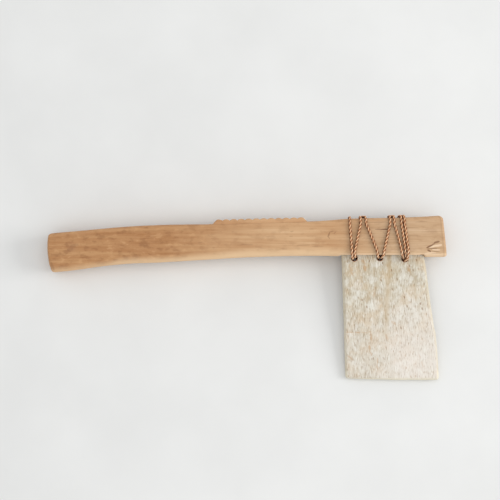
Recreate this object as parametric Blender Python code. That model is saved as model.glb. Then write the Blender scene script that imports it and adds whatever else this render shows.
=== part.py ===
"""Hafted axe: a carved wooden haft, a flat bone blade and the cord that laces the two together.

The pieces are modelled in the axe's own frame. X runs along the haft from its butt to its head, Y lies in
the plane of the axe and points from the blade's edge towards the haft's back, and Z is across its
thickness, with the side that shows at +Z. The axe is then laid on its other side, as it comes to rest.
"""

import math

import bmesh
import bpy
import numpy as np
from mathutils import Matrix, Vector

# Clearance kept between pieces that touch
GAP = 0.0003

# Haft, a carved stick
HAFT_LENGTH = 0.420
HAFT_DEPTH = 0.0385
HAFT_THICKNESS = 0.026
HAFT_EDGE_RADIUS = 0.006
HAFT_END_ROUNDING = 0.0024
BUTT_BOW = 0.0045
HEAD_SLANT = 0.0040
END_SHAPE_LENGTH = 0.025

# Scalloped ridge on the haft's back
RIDGE_START = 0.1735
RIDGE_BUMPS = 12
BUMP_PITCH = 0.0079
BUMP_DEPTH = 0.0015
RIDGE_HEIGHT = 0.0047
RIDGE_WIDTH = 0.019
RIDGE_CHAMFER = 0.0012
RIDGE_END_SLOPE = 1.0

# Seat and groove in the haft's underside, where the blade's top sits
HEAD_OVERHANG = 0.0237
SEAT_CUT = 0.0021
SEAT_LEAD_IN_SLOPE = 0.35
SEAT_SHOULDER_SLOPE = 1.6
GROOVE_DEPTH = 0.008

# Blade, a flared plate
BLADE_TOP_WIDTH = 0.0864
BLADE_EDGE_WIDTH = 0.0985
BLADE_LENGTH = 0.1322
BLADE_LEAN = 0.0041
BLADE_HEEL_RISE = 0.0017
BLADE_THICKNESS = 0.0095
BLADE_EDGE_THICKNESS = 0.0064
BLADE_CORNER_RADIUS = 0.0026
BLADE_CHAMFER = 0.0022
BLADE_SIDE_BOW = 0.0018
BLADE_EDGE_BOW = 0.0008

# Lashing, one twisted cord
CORD_DIAMETER = 0.0026
KNOT_SIZE = (0.0100, 0.0084, 0.0066)
KNOT_OFFSET = (0.0014, 0.0086)

# Drilled holes, each as (distance from the blade's heel side, distance below the seat). Each is wide
# enough for three strands of the cord side by side, and a little play
HOLE_PLAY = 0.0008
HOLE_DIAMETER = CORD_DIAMETER * (1 + 2 / math.sqrt(3)) + HOLE_PLAY
HOLE_PLACES = ((0.0131, 0.0034), (0.0400, 0.0031), (0.0664, 0.0042))

# How far the spots that the axe lies on are worn flat, and what its pieces weigh
REST_WEAR = 0.0004
WOOD_DENSITY = 480.0
BONE_DENSITY = 1600.0

# Side view of the haft: (share of its length, back, belly), both as shares of its depth
HAFT_STATIONS = (
    (0.00, 0.178, -0.887),
    (0.06, 0.233, -0.835),
    (0.13, 0.301, -0.726),
    (0.20, 0.363, -0.653),
    (0.28, 0.411, -0.616),
    (0.40, 0.432, -0.537),
    (0.55, 0.479, -0.454),
    (0.68, 0.520, -0.435),
    (0.75, 0.575, -0.449),
    (0.88, 0.613, -0.463),
    (1.00, 0.668, -0.466),
)

# Each turn of the lashing, in the order that the cord is laced. A turn comes up out of a hole, climbs the
# side that shows, crosses the haft's back and goes down the far side to the next turn's hole. It has
# the hole, the cord's place in that hole as an angle, its X on the near side and on the far side at the
# bottom, the middle and the top of the haft's flank, measured from its own hole, and how many cord
# diameters it is lifted over other strands: near its hole, high on the far flank, and at its end.
TURNS = (
    (0, 180, (-0.0032, -0.0042, -0.0054), (-0.0042, -0.0034, -0.0018), (0.75, 0.0, 0.0)),
    (0, 64, (-0.0002, 0.0028, 0.0058), (0.0072, 0.0160, 0.0256), (0.0, 0.0, 0.0)),
    (1, 20, (0.0036, 0.0068, 0.0099), (0.0106, 0.0175, 0.0230), (0.0, 0.0, 1.2)),
    (2, 270, (0.0026, 0.0010, -0.0014), (-0.0020, -0.0002, 0.0024), (1.2, 0.0, 0.0)),
    (2, 30, (-0.0004, -0.0024, -0.0047), (-0.0052, -0.0030, -0.0004), (0.0, 0.0, 0.0)),
    (2, 150, (-0.0042, -0.0078, -0.0121), (-0.0132, -0.0190, -0.0250), (0.0, 1.1, 1.2)),
    (1, 160, (-0.0036, -0.0090, -0.0152), (-0.0174, -0.0204, -0.0236), (0.0, 1.1, 0.0)),
)

# The cord's two ends from their tips to the knot's middle, as (X and Y from that middle, height above the
# blade's far face), all in cord diameters
FIRST_END = ((-1.35, -5.10, 0.67), (-1.25, -3.40, 0.67), (-0.90, -1.60, 0.85), (-0.67, 0.00, 1.38))
LAST_END = ((3.35, -5.00, 0.67), (2.45, -3.30, 0.67), (1.35, -1.60, 0.85), (0.67, 0.00, 1.38))


def remove_all_objects():
    """Start from an empty scene."""
    for old in list(bpy.data.objects):
        bpy.data.objects.remove(old, do_unlink=True)


def make_material(name, colour, roughness):
    """A plain non-metallic material in one colour."""
    material = bpy.data.materials.new(name)
    material.use_nodes = True
    shader = material.node_tree.nodes["Principled BSDF"]
    shader.inputs["Base Color"].default_value = (*colour, 1.0)
    shader.inputs["Roughness"].default_value = roughness
    shader.inputs["Metallic"].default_value = 0.0
    return material


def make_object(name, vertices, faces, parent=None, material=None, smooth_angle=None):
    """An object from points and faces, with its faces turned outwards."""
    shell = bmesh.new()
    corners = [shell.verts.new(point) for point in vertices]
    for face in faces:
        shell.faces.new([corners[index] for index in face])
    bmesh.ops.recalc_face_normals(shell, faces=shell.faces)
    mesh = bpy.data.meshes.new(name)
    shell.to_mesh(mesh)
    shell.free()
    if smooth_angle is not None:
        mesh.shade_smooth()
        mesh.set_sharp_from_angle(angle=smooth_angle)
    if material is not None:
        mesh.materials.append(material)
    piece = bpy.data.objects.new(name, mesh)
    bpy.context.scene.collection.objects.link(piece)
    piece.parent = parent
    return piece


def combine(piece, tool, operation):
    """Cut a piece with a tool object, or join the tool to it, and keep the tool out of the render."""
    tool.hide_render = True
    tool.display_type = "WIRE"
    step = piece.modifiers.new(tool.name, "BOOLEAN")
    step.operation = operation
    step.solver = "EXACT"
    step.object = tool


def loft(rings):
    """Faces between rings of equal length, and flat strips across the two end rings."""
    count = len(rings[0])
    faces = []
    for ring in range(len(rings) - 1):
        for side in range(count):
            after = (side + 1) % count
            low = ring * count
            high = low + count
            faces.append((low + side, low + after, high + after, high + side))
    for start in (0, (len(rings) - 1) * count):
        for side in range(count // 2 - 1):
            far = count - 1 - side
            faces.append((start + side, start + side + 1, start + far - 1, start + far))
    vertices = [point for ring in rings for point in ring]
    return vertices, faces


def prism(outline, half_width):
    """Points and faces of a flat outline in X and Y, extruded along Z to both sides."""
    count = len(outline)
    vertices = [(x, y, half_width) for x, y in outline]
    vertices += [(x, y, -half_width) for x, y in outline]
    faces = [tuple(range(count)), tuple(range(2 * count - 1, count - 1, -1))]
    for side in range(count):
        after = (side + 1) % count
        faces.append((side, side + count, after + count, after))
    return vertices, faces


def haft_line(x, column):
    """Height of the haft's back (column 1) or belly (column 2) at X, on a smooth curve."""
    table = np.array(HAFT_STATIONS)
    shares = table[:, 0]
    heights = table[:, column]
    slopes = np.gradient(heights, shares)
    share = min(max(x / HAFT_LENGTH, 0.0), 1.0)
    left = min(int(np.searchsorted(shares, share, side="right")) - 1, len(shares) - 2)
    span = shares[left + 1] - shares[left]
    t = (share - shares[left]) / span
    height = (
        (2 * t**3 - 3 * t**2 + 1) * heights[left]
        + (t**3 - 2 * t**2 + t) * span * slopes[left]
        + (3 * t**2 - 2 * t**3) * heights[left + 1]
        + (t**3 - t**2) * span * slopes[left + 1]
    )
    return float(height) * HAFT_DEPTH


def back_height(x):
    return haft_line(x, 1)


def belly_height(x):
    return haft_line(x, 2)


BLADE_X = HAFT_LENGTH - HEAD_OVERHANG - BLADE_TOP_WIDTH
SEAT_Y = belly_height(BLADE_X + BLADE_TOP_WIDTH / 2) + SEAT_CUT
CORD_STANDOFF = CORD_DIAMETER / 2 + 1.5 * GAP


def haft_ring(share, inset, arc_steps=4):
    """One section of the haft: a rectangle with round corners, drawn in by the inset near an end."""
    back = back_height(share * HAFT_LENGTH) - inset
    belly = belly_height(share * HAFT_LENGTH) + inset
    half = HAFT_THICKNESS / 2 - inset
    radius = HAFT_EDGE_RADIUS - inset / 2
    flank = []
    for centre, first_angle in ((belly + radius, -90), (back - radius, 0)):
        for step in range(arc_steps + 1):
            angle = math.radians(first_angle + 90 * step / arc_steps)
            y = centre + radius * math.sin(angle)
            flank.append((y, half - radius + radius * math.cos(angle)))
    section = flank + [(y, -z) for y, z in reversed(flank)]
    return [(haft_end_x(share, y, inset), y, z) for y, z in section]


def haft_end_x(share, y, inset):
    """X of a section's point: the butt end is bowed and the head end is slanted."""
    middle = (back_height(0) * 2 + belly_height(0)) / 3
    bow = BUTT_BOW * ((y - middle) / (middle - belly_height(0))) ** 2
    slant = HEAD_SLANT * (y - belly_height(HAFT_LENGTH)) / HAFT_DEPTH
    x = share * HAFT_LENGTH
    near_butt = max(0.0, 1 - x / END_SHAPE_LENGTH)
    near_head = max(0.0, 1 - (HAFT_LENGTH - x) / END_SHAPE_LENGTH)
    x += near_butt * bow - near_head * slant
    rounding = HAFT_END_ROUNDING - math.sqrt(max(0.0, HAFT_END_ROUNDING**2 - inset**2))
    return x + (rounding if share > 0.5 else -rounding)


def make_haft(parent, material, stations=26):
    """The haft, with its ridge joined on and the blade's seat and groove cut out."""
    end_share = HAFT_END_ROUNDING / HAFT_LENGTH
    insets = [HAFT_END_ROUNDING * math.cos(math.radians(angle)) for angle in (0, 35, 65)]
    rings = [haft_ring(end_share, inset) for inset in insets]
    for step in range(stations + 1):
        rings.append(haft_ring(end_share + (1 - 2 * end_share) * step / stations, 0.0))
    rings += [haft_ring(1 - end_share, inset) for inset in reversed(insets)]
    vertices, faces = loft(rings)
    haft = make_object("haft", vertices, faces, parent, material, math.radians(35))
    combine(haft, make_ridge(parent), "UNION")
    combine(haft, make_seat_cutter(parent), "DIFFERENCE")
    combine(haft, make_groove_cutter(parent), "DIFFERENCE")
    return haft


def make_ridge(parent, steps=4):
    """The raised ridge: a row of rounded bumps, sloped at both ends and chamfered along its sides."""
    ramp = RIDGE_HEIGHT / RIDGE_END_SLOPE / 2
    sunk = RIDGE_CHAMFER / RIDGE_END_SLOPE
    length = RIDGE_BUMPS * BUMP_PITCH + 2 * ramp
    places = [-sunk]
    for step in range(RIDGE_BUMPS * steps + 1):
        places.append(ramp + BUMP_PITCH * step / steps)
    places.append(length + sunk)
    crest = []
    for place in places:
        across = ((place - ramp) / BUMP_PITCH) % 1.0
        bump_top = RIDGE_HEIGHT - BUMP_DEPTH * (2 * across - 1) ** 2
        crest.append(min(bump_top, place * RIDGE_END_SLOPE, (length - place) * RIDGE_END_SLOPE))
    rings = []
    half = RIDGE_WIDTH / 2
    sink = HAFT_EDGE_RADIUS
    for place, rise in zip(places, crest):
        x = RIDGE_START + place
        base = back_height(x)
        side = [(base - sink, half), (base + rise - RIDGE_CHAMFER, half), (base + rise, half - RIDGE_CHAMFER)]
        section = side + [(y, -z) for y, z in reversed(side)]
        rings.append([(x, y, z) for y, z in section])
    vertices, faces = loft(rings)
    return make_object("ridge_block", vertices, faces, parent)


def make_seat_cutter(parent):
    """Clears the shallow seat: a long lead-in at the blade's heel and a short shoulder at its toe."""
    drop = HAFT_DEPTH / 2
    left = BLADE_X - GAP
    right = BLADE_X + BLADE_TOP_WIDTH + GAP
    outline = [
        (left - drop / SEAT_LEAD_IN_SLOPE, SEAT_Y - drop),
        (right + drop / SEAT_SHOULDER_SLOPE, SEAT_Y - drop),
        (right, SEAT_Y),
        (left, SEAT_Y),
    ]
    vertices, faces = prism(outline, HAFT_THICKNESS)
    return make_object("seat_cutter", vertices, faces, parent)


def make_groove_cutter(parent):
    """Clears the groove: the blade's own outline, grown by the clearance."""
    outline = [(BLADE_X + x, SEAT_Y + y) for x, y in grow_outline(blade_outline(), GAP)]
    vertices, faces = prism(outline, BLADE_THICKNESS / 2 + GAP)
    return make_object("groove_cutter", vertices, faces, parent)


def blade_outline(arc_steps=4, bow_steps=4):
    """The blade seen from the side, from its heel corner at the seat: X along the haft and Y up."""
    heel_lean = BLADE_LEAN / BLADE_LENGTH
    toe_lean = (BLADE_EDGE_WIDTH - BLADE_TOP_WIDTH + BLADE_LEAN) / BLADE_LENGTH
    corners = [
        (-heel_lean * GROOVE_DEPTH, GROOVE_DEPTH),
        (BLADE_LEAN, BLADE_HEEL_RISE - BLADE_LENGTH),
        (BLADE_LEAN + BLADE_EDGE_WIDTH, -BLADE_LENGTH),
        (BLADE_TOP_WIDTH - toe_lean * GROOVE_DEPTH, GROOVE_DEPTH),
    ]
    bows = (0.0, BLADE_EDGE_BOW, BLADE_SIDE_BOW, 0.0)
    outline = []
    for index, corner in enumerate(corners):
        corner = Vector(corner)
        before = Vector(corners[index - 1])
        after = Vector(corners[(index + 1) % 4])
        arc = round_corner(before, corner, after, BLADE_CORNER_RADIUS, arc_steps)
        outline += arc
        following = Vector(corners[(index + 2) % 4])
        goal = round_corner(corner, after, following, BLADE_CORNER_RADIUS, arc_steps)[0]
        along = goal - arc[-1]
        outward = Vector((along.y, -along.x)).normalized()
        if bows[index] > 0:
            for step in range(1, bow_steps):
                t = step / bow_steps
                outline.append(arc[-1] + along * t + outward * bows[index] * 4 * t * (1 - t))
    return [(point.x, point.y) for point in outline]


def round_corner(before, corner, after, radius, steps):
    """Points on the arc that rounds a corner of an outline."""
    to_before = (before - corner).normalized()
    to_after = (after - corner).normalized()
    half_angle = to_before.angle(to_after) / 2
    centre = corner + (to_before + to_after).normalized() * radius / math.sin(half_angle)
    first = corner + to_before * radius / math.tan(half_angle) - centre
    start = math.atan2(first.y, first.x)
    sweep = math.pi - 2 * half_angle
    angles = [start + sweep * step / steps for step in range(steps + 1)]
    return [centre + Vector((math.cos(angle), math.sin(angle))) * radius for angle in angles]


def grow_outline(outline, distance):
    """A convex outline, moved outwards by a distance, or inwards by a negative one."""
    grown = []
    for index, point in enumerate(outline):
        here = Vector(point)
        incoming = (here - Vector(outline[index - 1])).normalized()
        outgoing = (Vector(outline[(index + 1) % len(outline)]) - here).normalized()
        normal = Vector((incoming.y + outgoing.y, -incoming.x - outgoing.x)).normalized()
        reach = distance / normal.dot(Vector((outgoing.y, -outgoing.x)))
        grown.append(tuple(here + normal * reach))
    return grown


def blade_half_thickness(y):
    """Half the blade's thickness at a height measured from the seat: it thins towards the edge."""
    share = (GROOVE_DEPTH - y) / (GROOVE_DEPTH + BLADE_LENGTH)
    return (BLADE_THICKNESS + (BLADE_EDGE_THICKNESS - BLADE_THICKNESS) * share) / 2


def make_blade(parent, material):
    """The blade: a thin wedge, chamfered all round, with its holes drilled through."""
    outline = blade_outline()
    inner = grow_outline(outline, -BLADE_CHAMFER)
    rings = []
    for points, sunk, side in ((inner, 0, 1), (outline, 1, 1), (outline, 1, -1), (inner, 0, -1)):
        ring = []
        for x, y in points:
            ring.append((x, y, side * (blade_half_thickness(y) - sunk * BLADE_CHAMFER)))
        rings.append(ring)
    count = len(outline)
    vertices = [point for ring in rings for point in ring]
    faces = [tuple(range(count)), tuple(range(3 * count, 4 * count))]
    for ring in range(3):
        for side in range(count):
            after = (side + 1) % count
            low = ring * count
            faces.append((low + side, low + after, low + count + after, low + count + side))
    blade = make_object("blade", vertices, faces, parent, material, math.radians(30))
    blade.location = (BLADE_X, SEAT_Y, 0.0)
    for number, place in enumerate(HOLE_PLACES, start=1):
        combine(blade, make_drill(number, place, blade), "DIFFERENCE")
    return blade


def make_drill(number, place, blade, sides=20):
    """A round bar through the blade where one hole goes."""
    outline = []
    for side in range(sides):
        angle = 2 * math.pi * side / sides
        x = place[0] + HOLE_DIAMETER / 2 * math.cos(angle)
        outline.append((x, -place[1] + HOLE_DIAMETER / 2 * math.sin(angle)))
    vertices, faces = prism(outline, BLADE_THICKNESS)
    return make_object(f"drill_{number}", vertices, faces, blade)


def cord_in_hole(turn):
    """X and Y of the cord where it passes through a turn's hole."""
    across, below = HOLE_PLACES[turn[0]]
    reach = HOLE_DIAMETER / 2 - CORD_DIAMETER / 2 - GAP
    angle = math.radians(turn[1])
    x = BLADE_X + across + reach * math.cos(angle)
    return x, SEAT_Y - below + reach * math.sin(angle)


def climb(start, flank, crown, side, low_lift, high_lift=0.0):
    """The cord's points from a hole's mouth up one side of the haft to the middle of its back.

    start is the cord's place in the hole, flank its X at the bottom, middle and top of the haft's side,
    and crown its X on the haft's back. side is 1 on the side that shows and -1 on the other.
    Each bend is an arc about a centre, from 0 degrees below it to 180 degrees above it.
    """
    radius = HAFT_EDGE_RADIUS
    flat = HAFT_THICKNESS / 2 - radius
    bottom = belly_height(start[0]) + radius
    top = back_height(flank[2]) - radius
    lip_angle = math.acos((bottom - SEAT_Y) / radius)
    lip = flat + radius * math.sin(lip_angle)
    lip_angle = math.degrees(lip_angle)
    middle = (bottom + top) / 2
    bends = (
        (0.30, SEAT_Y, lip, 0.0, 0.0, 1.0, 0.0),
        (0.50, SEAT_Y, lip, 0.0, lip_angle / 2, 1.0, 0.0),
        (0.70, SEAT_Y, lip, 0.0, lip_angle, 1.0, 0.0),
        (0.85, bottom, flat, radius, (lip_angle + 90) / 2, 0.8, 0.0),
        (1.00, bottom, flat, radius, 90.0, 0.5, 0.0),
        (1.50, (bottom + middle) / 2, flat, radius, 90.0, 0.0, 0.2),
        (2.50, (top + middle) / 2, flat, radius, 90.0, 0.0, 0.9),
        (3.00, top, flat, radius, 90.0, 0.0, 1.0),
        (3.12, top, flat, radius, 112.5, 0.0, 0.85),
        (3.25, top, flat, radius, 135.0, 0.0, 0.6),
        (3.37, top, flat, radius, 157.5, 0.0, 0.35),
        (3.50, top, flat, radius, 180.0, 0.0, 0.15),
        (3.75, top, flat / 2, radius, 180.0, 0.0, 0.0),
    )
    knots = (0.0, 1.0, 2.0, 3.0, 4.0)
    along = (start[0], flank[0], flank[1], flank[2], crown)
    points = [Vector((start[0], start[1], side * BLADE_THICKNESS / 2))]
    for place, y, z, bend, angle, low_share, high_share in bends:
        reach = bend + CORD_STANDOFF + low_share * low_lift + high_share * high_lift
        y -= reach * math.cos(math.radians(angle))
        z += reach * math.sin(math.radians(angle))
        points.append(Vector((np.interp(place, knots, along), y, side * z)))
    return points


def lashing_route():
    """The cord's centre line, from one end's tip to the other's."""
    hole_x = [BLADE_X + across for across, below in HOLE_PLACES]
    knot = knot_centre()
    first = cord_in_hole(TURNS[0])
    route = [end_point(place) for place in FIRST_END]
    route.append(Vector((first[0], (knot.y + first[1]) / 2 - CORD_DIAMETER / 2, (knot.z + route[0].z) / 2)))
    route.append(Vector((first[0], first[1] - CORD_DIAMETER / 2, route[0].z)))
    for index, turn in enumerate(TURNS):
        start = cord_in_hole(turn)
        origin = hole_x[turn[0]]
        near = [origin + x for x in turn[2]]
        far = [origin + x for x in turn[3]]
        crown = (near[2] + far[0]) / 2
        low_lift, high_lift, end_lift = [lift * (CORD_DIAMETER + GAP / 2) for lift in turn[4]]
        route.append(Vector((start[0], start[1], -BLADE_THICKNESS / 2)))
        route.append(Vector((start[0], start[1], 0.0)))
        route += climb(start, near, crown, 1, low_lift)
        route.append(Vector((crown, back_height(crown) + CORD_STANDOFF, 0.0)))
        last_turn = index + 1 == len(TURNS)
        goal = (far[2], first[1]) if last_turn else cord_in_hole(TURNS[index + 1])
        down = climb(goal, far[::-1], crown, -1, end_lift, high_lift)
        route += down[:0:-1]
    down_to_knot = Vector((route[-1].x, knot.y + KNOT_SIZE[1] / 2, knot.z))
    route += [down_to_knot] + [end_point(place) for place in reversed(LAST_END)]
    return route


def end_point(place):
    """A point on one of the cord's ends, from its place in cord diameters."""
    knot = knot_centre()
    x, y, height = [CORD_DIAMETER * size for size in place]
    return Vector((knot.x + x, knot.y + y, -BLADE_THICKNESS / 2 - height))


def knot_centre():
    """Middle of the knot, which lies against the blade's far face below the first hole."""
    across, below = HOLE_PLACES[0]
    x = BLADE_X + across + KNOT_OFFSET[0]
    y = SEAT_Y - below - KNOT_OFFSET[1]
    return Vector((x, y, -BLADE_THICKNESS / 2 - GAP - KNOT_SIZE[2] / 2))


def make_lashing(parent, material, sides=8):
    """The cord as a round tube along its route, with the knot's body joined on."""
    route = lashing_route()
    across = Vector((1.0, 0.0, 0.0))
    rings = []
    for index, point in enumerate(route):
        ahead = route[min(index + 1, len(route) - 1)] - route[max(index - 1, 0)]
        ahead.normalize()
        across = (across - ahead * across.dot(ahead)).normalized()
        other = ahead.cross(across)
        ring = []
        for side in range(sides):
            angle = 2 * math.pi * (side + 0.5) / sides
            ring.append(point + (across * math.cos(angle) + other * math.sin(angle)) * CORD_DIAMETER / 2)
        rings.append(ring)
    vertices, faces = loft(rings)
    lashing = make_object("lashing", vertices, faces, parent, material, math.radians(60))
    combine(lashing, make_knot_body(parent), "UNION")
    return lashing


def make_knot_body(parent):
    """The outer shape of the knot that ties the cord's two ends."""
    ball = bmesh.new()
    bmesh.ops.create_icosphere(ball, subdivisions=2, radius=0.5)
    mesh = bpy.data.meshes.new("knot_body")
    ball.to_mesh(mesh)
    ball.free()
    knot = bpy.data.objects.new("knot_body", mesh)
    bpy.context.scene.collection.objects.link(knot)
    mesh.transform(Matrix.Diagonal((*KNOT_SIZE, 1.0)))
    knot.location = knot_centre()
    knot.parent = parent
    return knot


def rest_rotation(pieces):
    """The turn that lays the axe down on the three places that carry it, and its points after that.

    The axe comes to rest on the face of its convex hull that lies under its centre of mass.
    """
    cloud = []
    mass = 0.0
    moment = Vector()
    for piece, density in pieces:
        solid = bmesh.new()
        solid.from_mesh(piece.data)
        solid.transform(Matrix.Translation(piece.location))
        weight = solid.calc_volume() * density
        mass += weight
        moment += centre_of_volume(solid) * weight
        cloud += [vertex.co.copy() for vertex in solid.verts]
        solid.free()
    centre = moment / mass
    hull = bmesh.new()
    for point in cloud:
        hull.verts.new(point)
    bmesh.ops.convex_hull(hull, input=hull.verts)
    down = Vector((0.0, 0.0, -1.0))
    resting = down
    for face in hull.faces:
        if face.normal.dot(down) > 0.5 and lies_under(face, centre):
            resting = face.normal.copy()
    hull.free()
    turn = resting.rotation_difference(down).to_matrix()
    return turn, np.array([turn @ point for point in cloud])


def centre_of_volume(solid):
    """Centre of a closed mesh's volume."""
    solid.faces.ensure_lookup_table()
    total = 0.0
    moment = Vector()
    for loops in solid.calc_loop_triangles():
        a, b, c = [loop.vert.co for loop in loops]
        volume = a.dot(b.cross(c)) / 6
        total += volume
        moment += (a + b + c) / 4 * volume
    return moment / total


def lies_under(face, point):
    """True where a point falls inside a face, seen along the face's normal."""
    corners = [vertex.co for vertex in face.verts]
    for index, corner in enumerate(corners):
        side = corners[(index + 1) % len(corners)] - corner
        if side.cross(point - corner).dot(face.normal) < 0:
            return False
    return True


def lay_down(root, pieces):
    """Lay the axe on the ground plane, centred on the origin, and wear its resting spots flat."""
    turn, points = rest_rotation(pieces)
    low = points.min(axis=0)
    high = points.max(axis=0)
    shift = Vector((-(low[0] + high[0]) / 2, -(low[1] + high[1]) / 2, -low[2] - REST_WEAR))
    root.matrix_world = Matrix.Translation(shift) @ turn.to_4x4()
    ground = [(x * HAFT_LENGTH, y * HAFT_LENGTH) for x, y in ((-1, -1), (1, -1), (1, 1), (-1, 1))]
    vertices, faces = prism(ground, HAFT_DEPTH)
    for piece, density in pieces:
        cutter = make_object(f"{piece.name}_ground", vertices, faces)
        cutter.location.z = -HAFT_DEPTH
        combine(piece, cutter, "DIFFERENCE")


def build_axe():
    """Make the pieces and lay the finished axe down."""
    remove_all_objects()
    wood = make_material("pale_wood", (0.56, 0.36, 0.19), 0.62)
    bone = make_material("weathered_bone", (0.62, 0.57, 0.46), 0.70)
    cord = make_material("brown_cord", (0.36, 0.15, 0.07), 0.80)
    root = bpy.data.objects.new("axe", None)
    bpy.context.scene.collection.objects.link(root)
    haft = make_haft(root, wood)
    blade = make_blade(root, bone)
    lashing = make_lashing(root, cord)
    lay_down(root, ((haft, WOOD_DENSITY), (blade, BONE_DENSITY), (lashing, WOOD_DENSITY)))


build_axe()
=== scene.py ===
"""Picture model of a hafted axe: a carved wooden haft, a flat bone blade, and the cord that laces them.

Lengths are in metres, unless a table says millimetres.
"""

import math
import random

import bpy
import numpy as np
from mathutils import Matrix, Vector, noise


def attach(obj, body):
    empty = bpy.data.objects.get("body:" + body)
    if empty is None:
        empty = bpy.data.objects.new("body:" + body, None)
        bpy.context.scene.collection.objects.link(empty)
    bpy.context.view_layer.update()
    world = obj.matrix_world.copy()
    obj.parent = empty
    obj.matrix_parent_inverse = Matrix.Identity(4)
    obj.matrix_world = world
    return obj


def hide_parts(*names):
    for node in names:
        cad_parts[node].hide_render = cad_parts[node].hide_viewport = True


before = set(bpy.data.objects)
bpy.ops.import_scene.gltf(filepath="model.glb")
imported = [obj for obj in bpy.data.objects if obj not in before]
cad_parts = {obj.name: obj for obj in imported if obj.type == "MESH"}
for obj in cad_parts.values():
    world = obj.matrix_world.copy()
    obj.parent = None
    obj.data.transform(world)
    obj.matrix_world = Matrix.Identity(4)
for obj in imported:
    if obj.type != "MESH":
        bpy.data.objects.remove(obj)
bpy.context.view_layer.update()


# The haft: one stick of light wood, split and carved by hand, with flats along its sides, a soft round
# edge below, and a scalloped ridge for the fingers left standing on its back. A shallow seat and a groove
# are cut under its head for the blade. Hands have darkened its grip.
HAFT_LENGTH = 0.420
HAFT_DEPTH = 0.0385
HAFT_THICKNESS = 0.026
BACK_EDGE_RADIUS = 0.0046
LOWER_EDGE_HEIGHT = 0.0105
LOWER_EDGE_DEPTH = 0.0060
HEAD_EDGE_HEIGHT = 0.0062
END_ROUNDING = 0.0022
BUTT_CORNER_RADIUS = 0.0024
HEAD_CORNER_RADIUS = 0.0042
END_SHAPE_LENGTH = 0.025
BUTT_LOWER_CORNER_RADIUS = BUTT_CORNER_RADIUS * 0.6
HEAD_LOWER_CORNER_RADIUS = HEAD_CORNER_RADIUS * 0.5
BUTT_BOW = 0.0045
HEAD_SLANT = 0.0040
HEAD_EDGE_CHANGE = (0.27, 0.32)

# The haft's outline: share of its length, then the heights of its back and belly in shares of its depth
HAFT_STATIONS = (
    (0.00, 0.178, -0.887),
    (0.06, 0.233, -0.835),
    (0.13, 0.301, -0.726),
    (0.20, 0.363, -0.653),
    (0.28, 0.411, -0.616),
    (0.40, 0.432, -0.537),
    (0.55, 0.479, -0.454),
    (0.68, 0.520, -0.435),
    (0.75, 0.575, -0.449),
    (0.88, 0.613, -0.463),
    (1.00, 0.668, -0.466),
)
RIDGE_START = 0.1735
RIDGE_BUMPS = 12
BUMP_PITCH = 0.0079
BUMP_DEPTH = 0.0015
BUMP_UNEVENNESS = 0.22
BUMP_LEAN = 0.06
RIDGE_HEIGHT = 0.0047
RIDGE_WIDTH = 0.019
RIDGE_ROUNDING = 0.0009
HEAD_OVERHANG = 0.0237
BLADE_TOP_WIDTH = 0.0864
SEAT_CUT = 0.0021
SEAT_LEAD_IN_SLOPE = 0.35
SEAT_SHOULDER_SLOPE = 1.6
GROOVE_DEPTH = 0.008
BLADE_THICKNESS = 0.0095
GAP = 0.0003
FLAT_DEPTH = 0.00022
STROKE_DEPTH = 0.00009

# How finely the outline is read off, and how many points each stretch of half a cross-section has
EDGE_STEPS = 1680
BELLY_STEPS = 6
LOWER_EDGE_STEPS = 12
SIDE_STEPS = 14
BACK_EDGE_STEPS = 8


def smooth_heights(column, places):
    """Heights of the haft's back (column 1) or belly (column 2) at many X, on a smooth curve."""
    table = np.array(HAFT_STATIONS)
    shares = table[:, 0]
    heights = table[:, column]
    slopes = np.gradient(heights, shares)
    share = places / HAFT_LENGTH
    left = np.clip(np.searchsorted(shares, share, side="right") - 1, 0, len(shares) - 2)
    span = shares[left + 1] - shares[left]
    t = (share - shares[left]) / span
    height = (2 * t**3 - 3 * t**2 + 1) * heights[left] + (t**3 - 2 * t**2 + t) * span * slopes[left]
    height += (3 * t**2 - 2 * t**3) * heights[left + 1] + (t**3 - t**2) * span * slopes[left + 1]
    return height * HAFT_DEPTH


edge_places = np.linspace(0.0, HAFT_LENGTH, EDGE_STEPS + 1)
back_heights = smooth_heights(1, edge_places)
belly_heights = smooth_heights(2, edge_places)


def back_at(x):
    return float(np.interp(x, edge_places, back_heights))


def belly_at(x):
    return float(np.interp(x, edge_places, belly_heights))


BLADE_X = HAFT_LENGTH - HEAD_OVERHANG - BLADE_TOP_WIDTH
SEAT_Y = belly_at(BLADE_X + BLADE_TOP_WIDTH / 2) + SEAT_CUT


def ease(low, high, value):
    """0 below low, 1 above high, and a smooth step between."""
    t = min(max((value - low) / (high - low), 0.0), 1.0)
    return t * t * (3 - 2 * t)


def ridge_rise(x):
    """Height of the scalloped ridge above the haft's back at X."""
    place = x - RIDGE_START
    length = RIDGE_BUMPS * BUMP_PITCH + RIDGE_HEIGHT
    if place <= 0 or place >= length:
        return 0.0
    across = (place - RIDGE_HEIGHT / 2) / BUMP_PITCH
    cut = 1 + BUMP_UNEVENNESS * noise.noise(Vector((math.floor(across) * 1.7, 3.1, 0.4)))
    lean = BUMP_LEAN * noise.noise(Vector((math.floor(across) * 2.3, 8.2, 1.9)))
    bump = RIDGE_HEIGHT - BUMP_DEPTH * cut * (2 * (across % 1.0) - 1 + lean) ** 2
    return min(bump, place, length - place)


def seat_height(x):
    """Lowest height that the haft's underside may have at X, where the seat is cut."""
    before = max(0.0, BLADE_X - GAP - x)
    after = max(0.0, x - BLADE_X - BLADE_TOP_WIDTH - GAP)
    return SEAT_Y - before * SEAT_LEAD_IN_SLOPE - after * SEAT_SHOULDER_SLOPE


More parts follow.
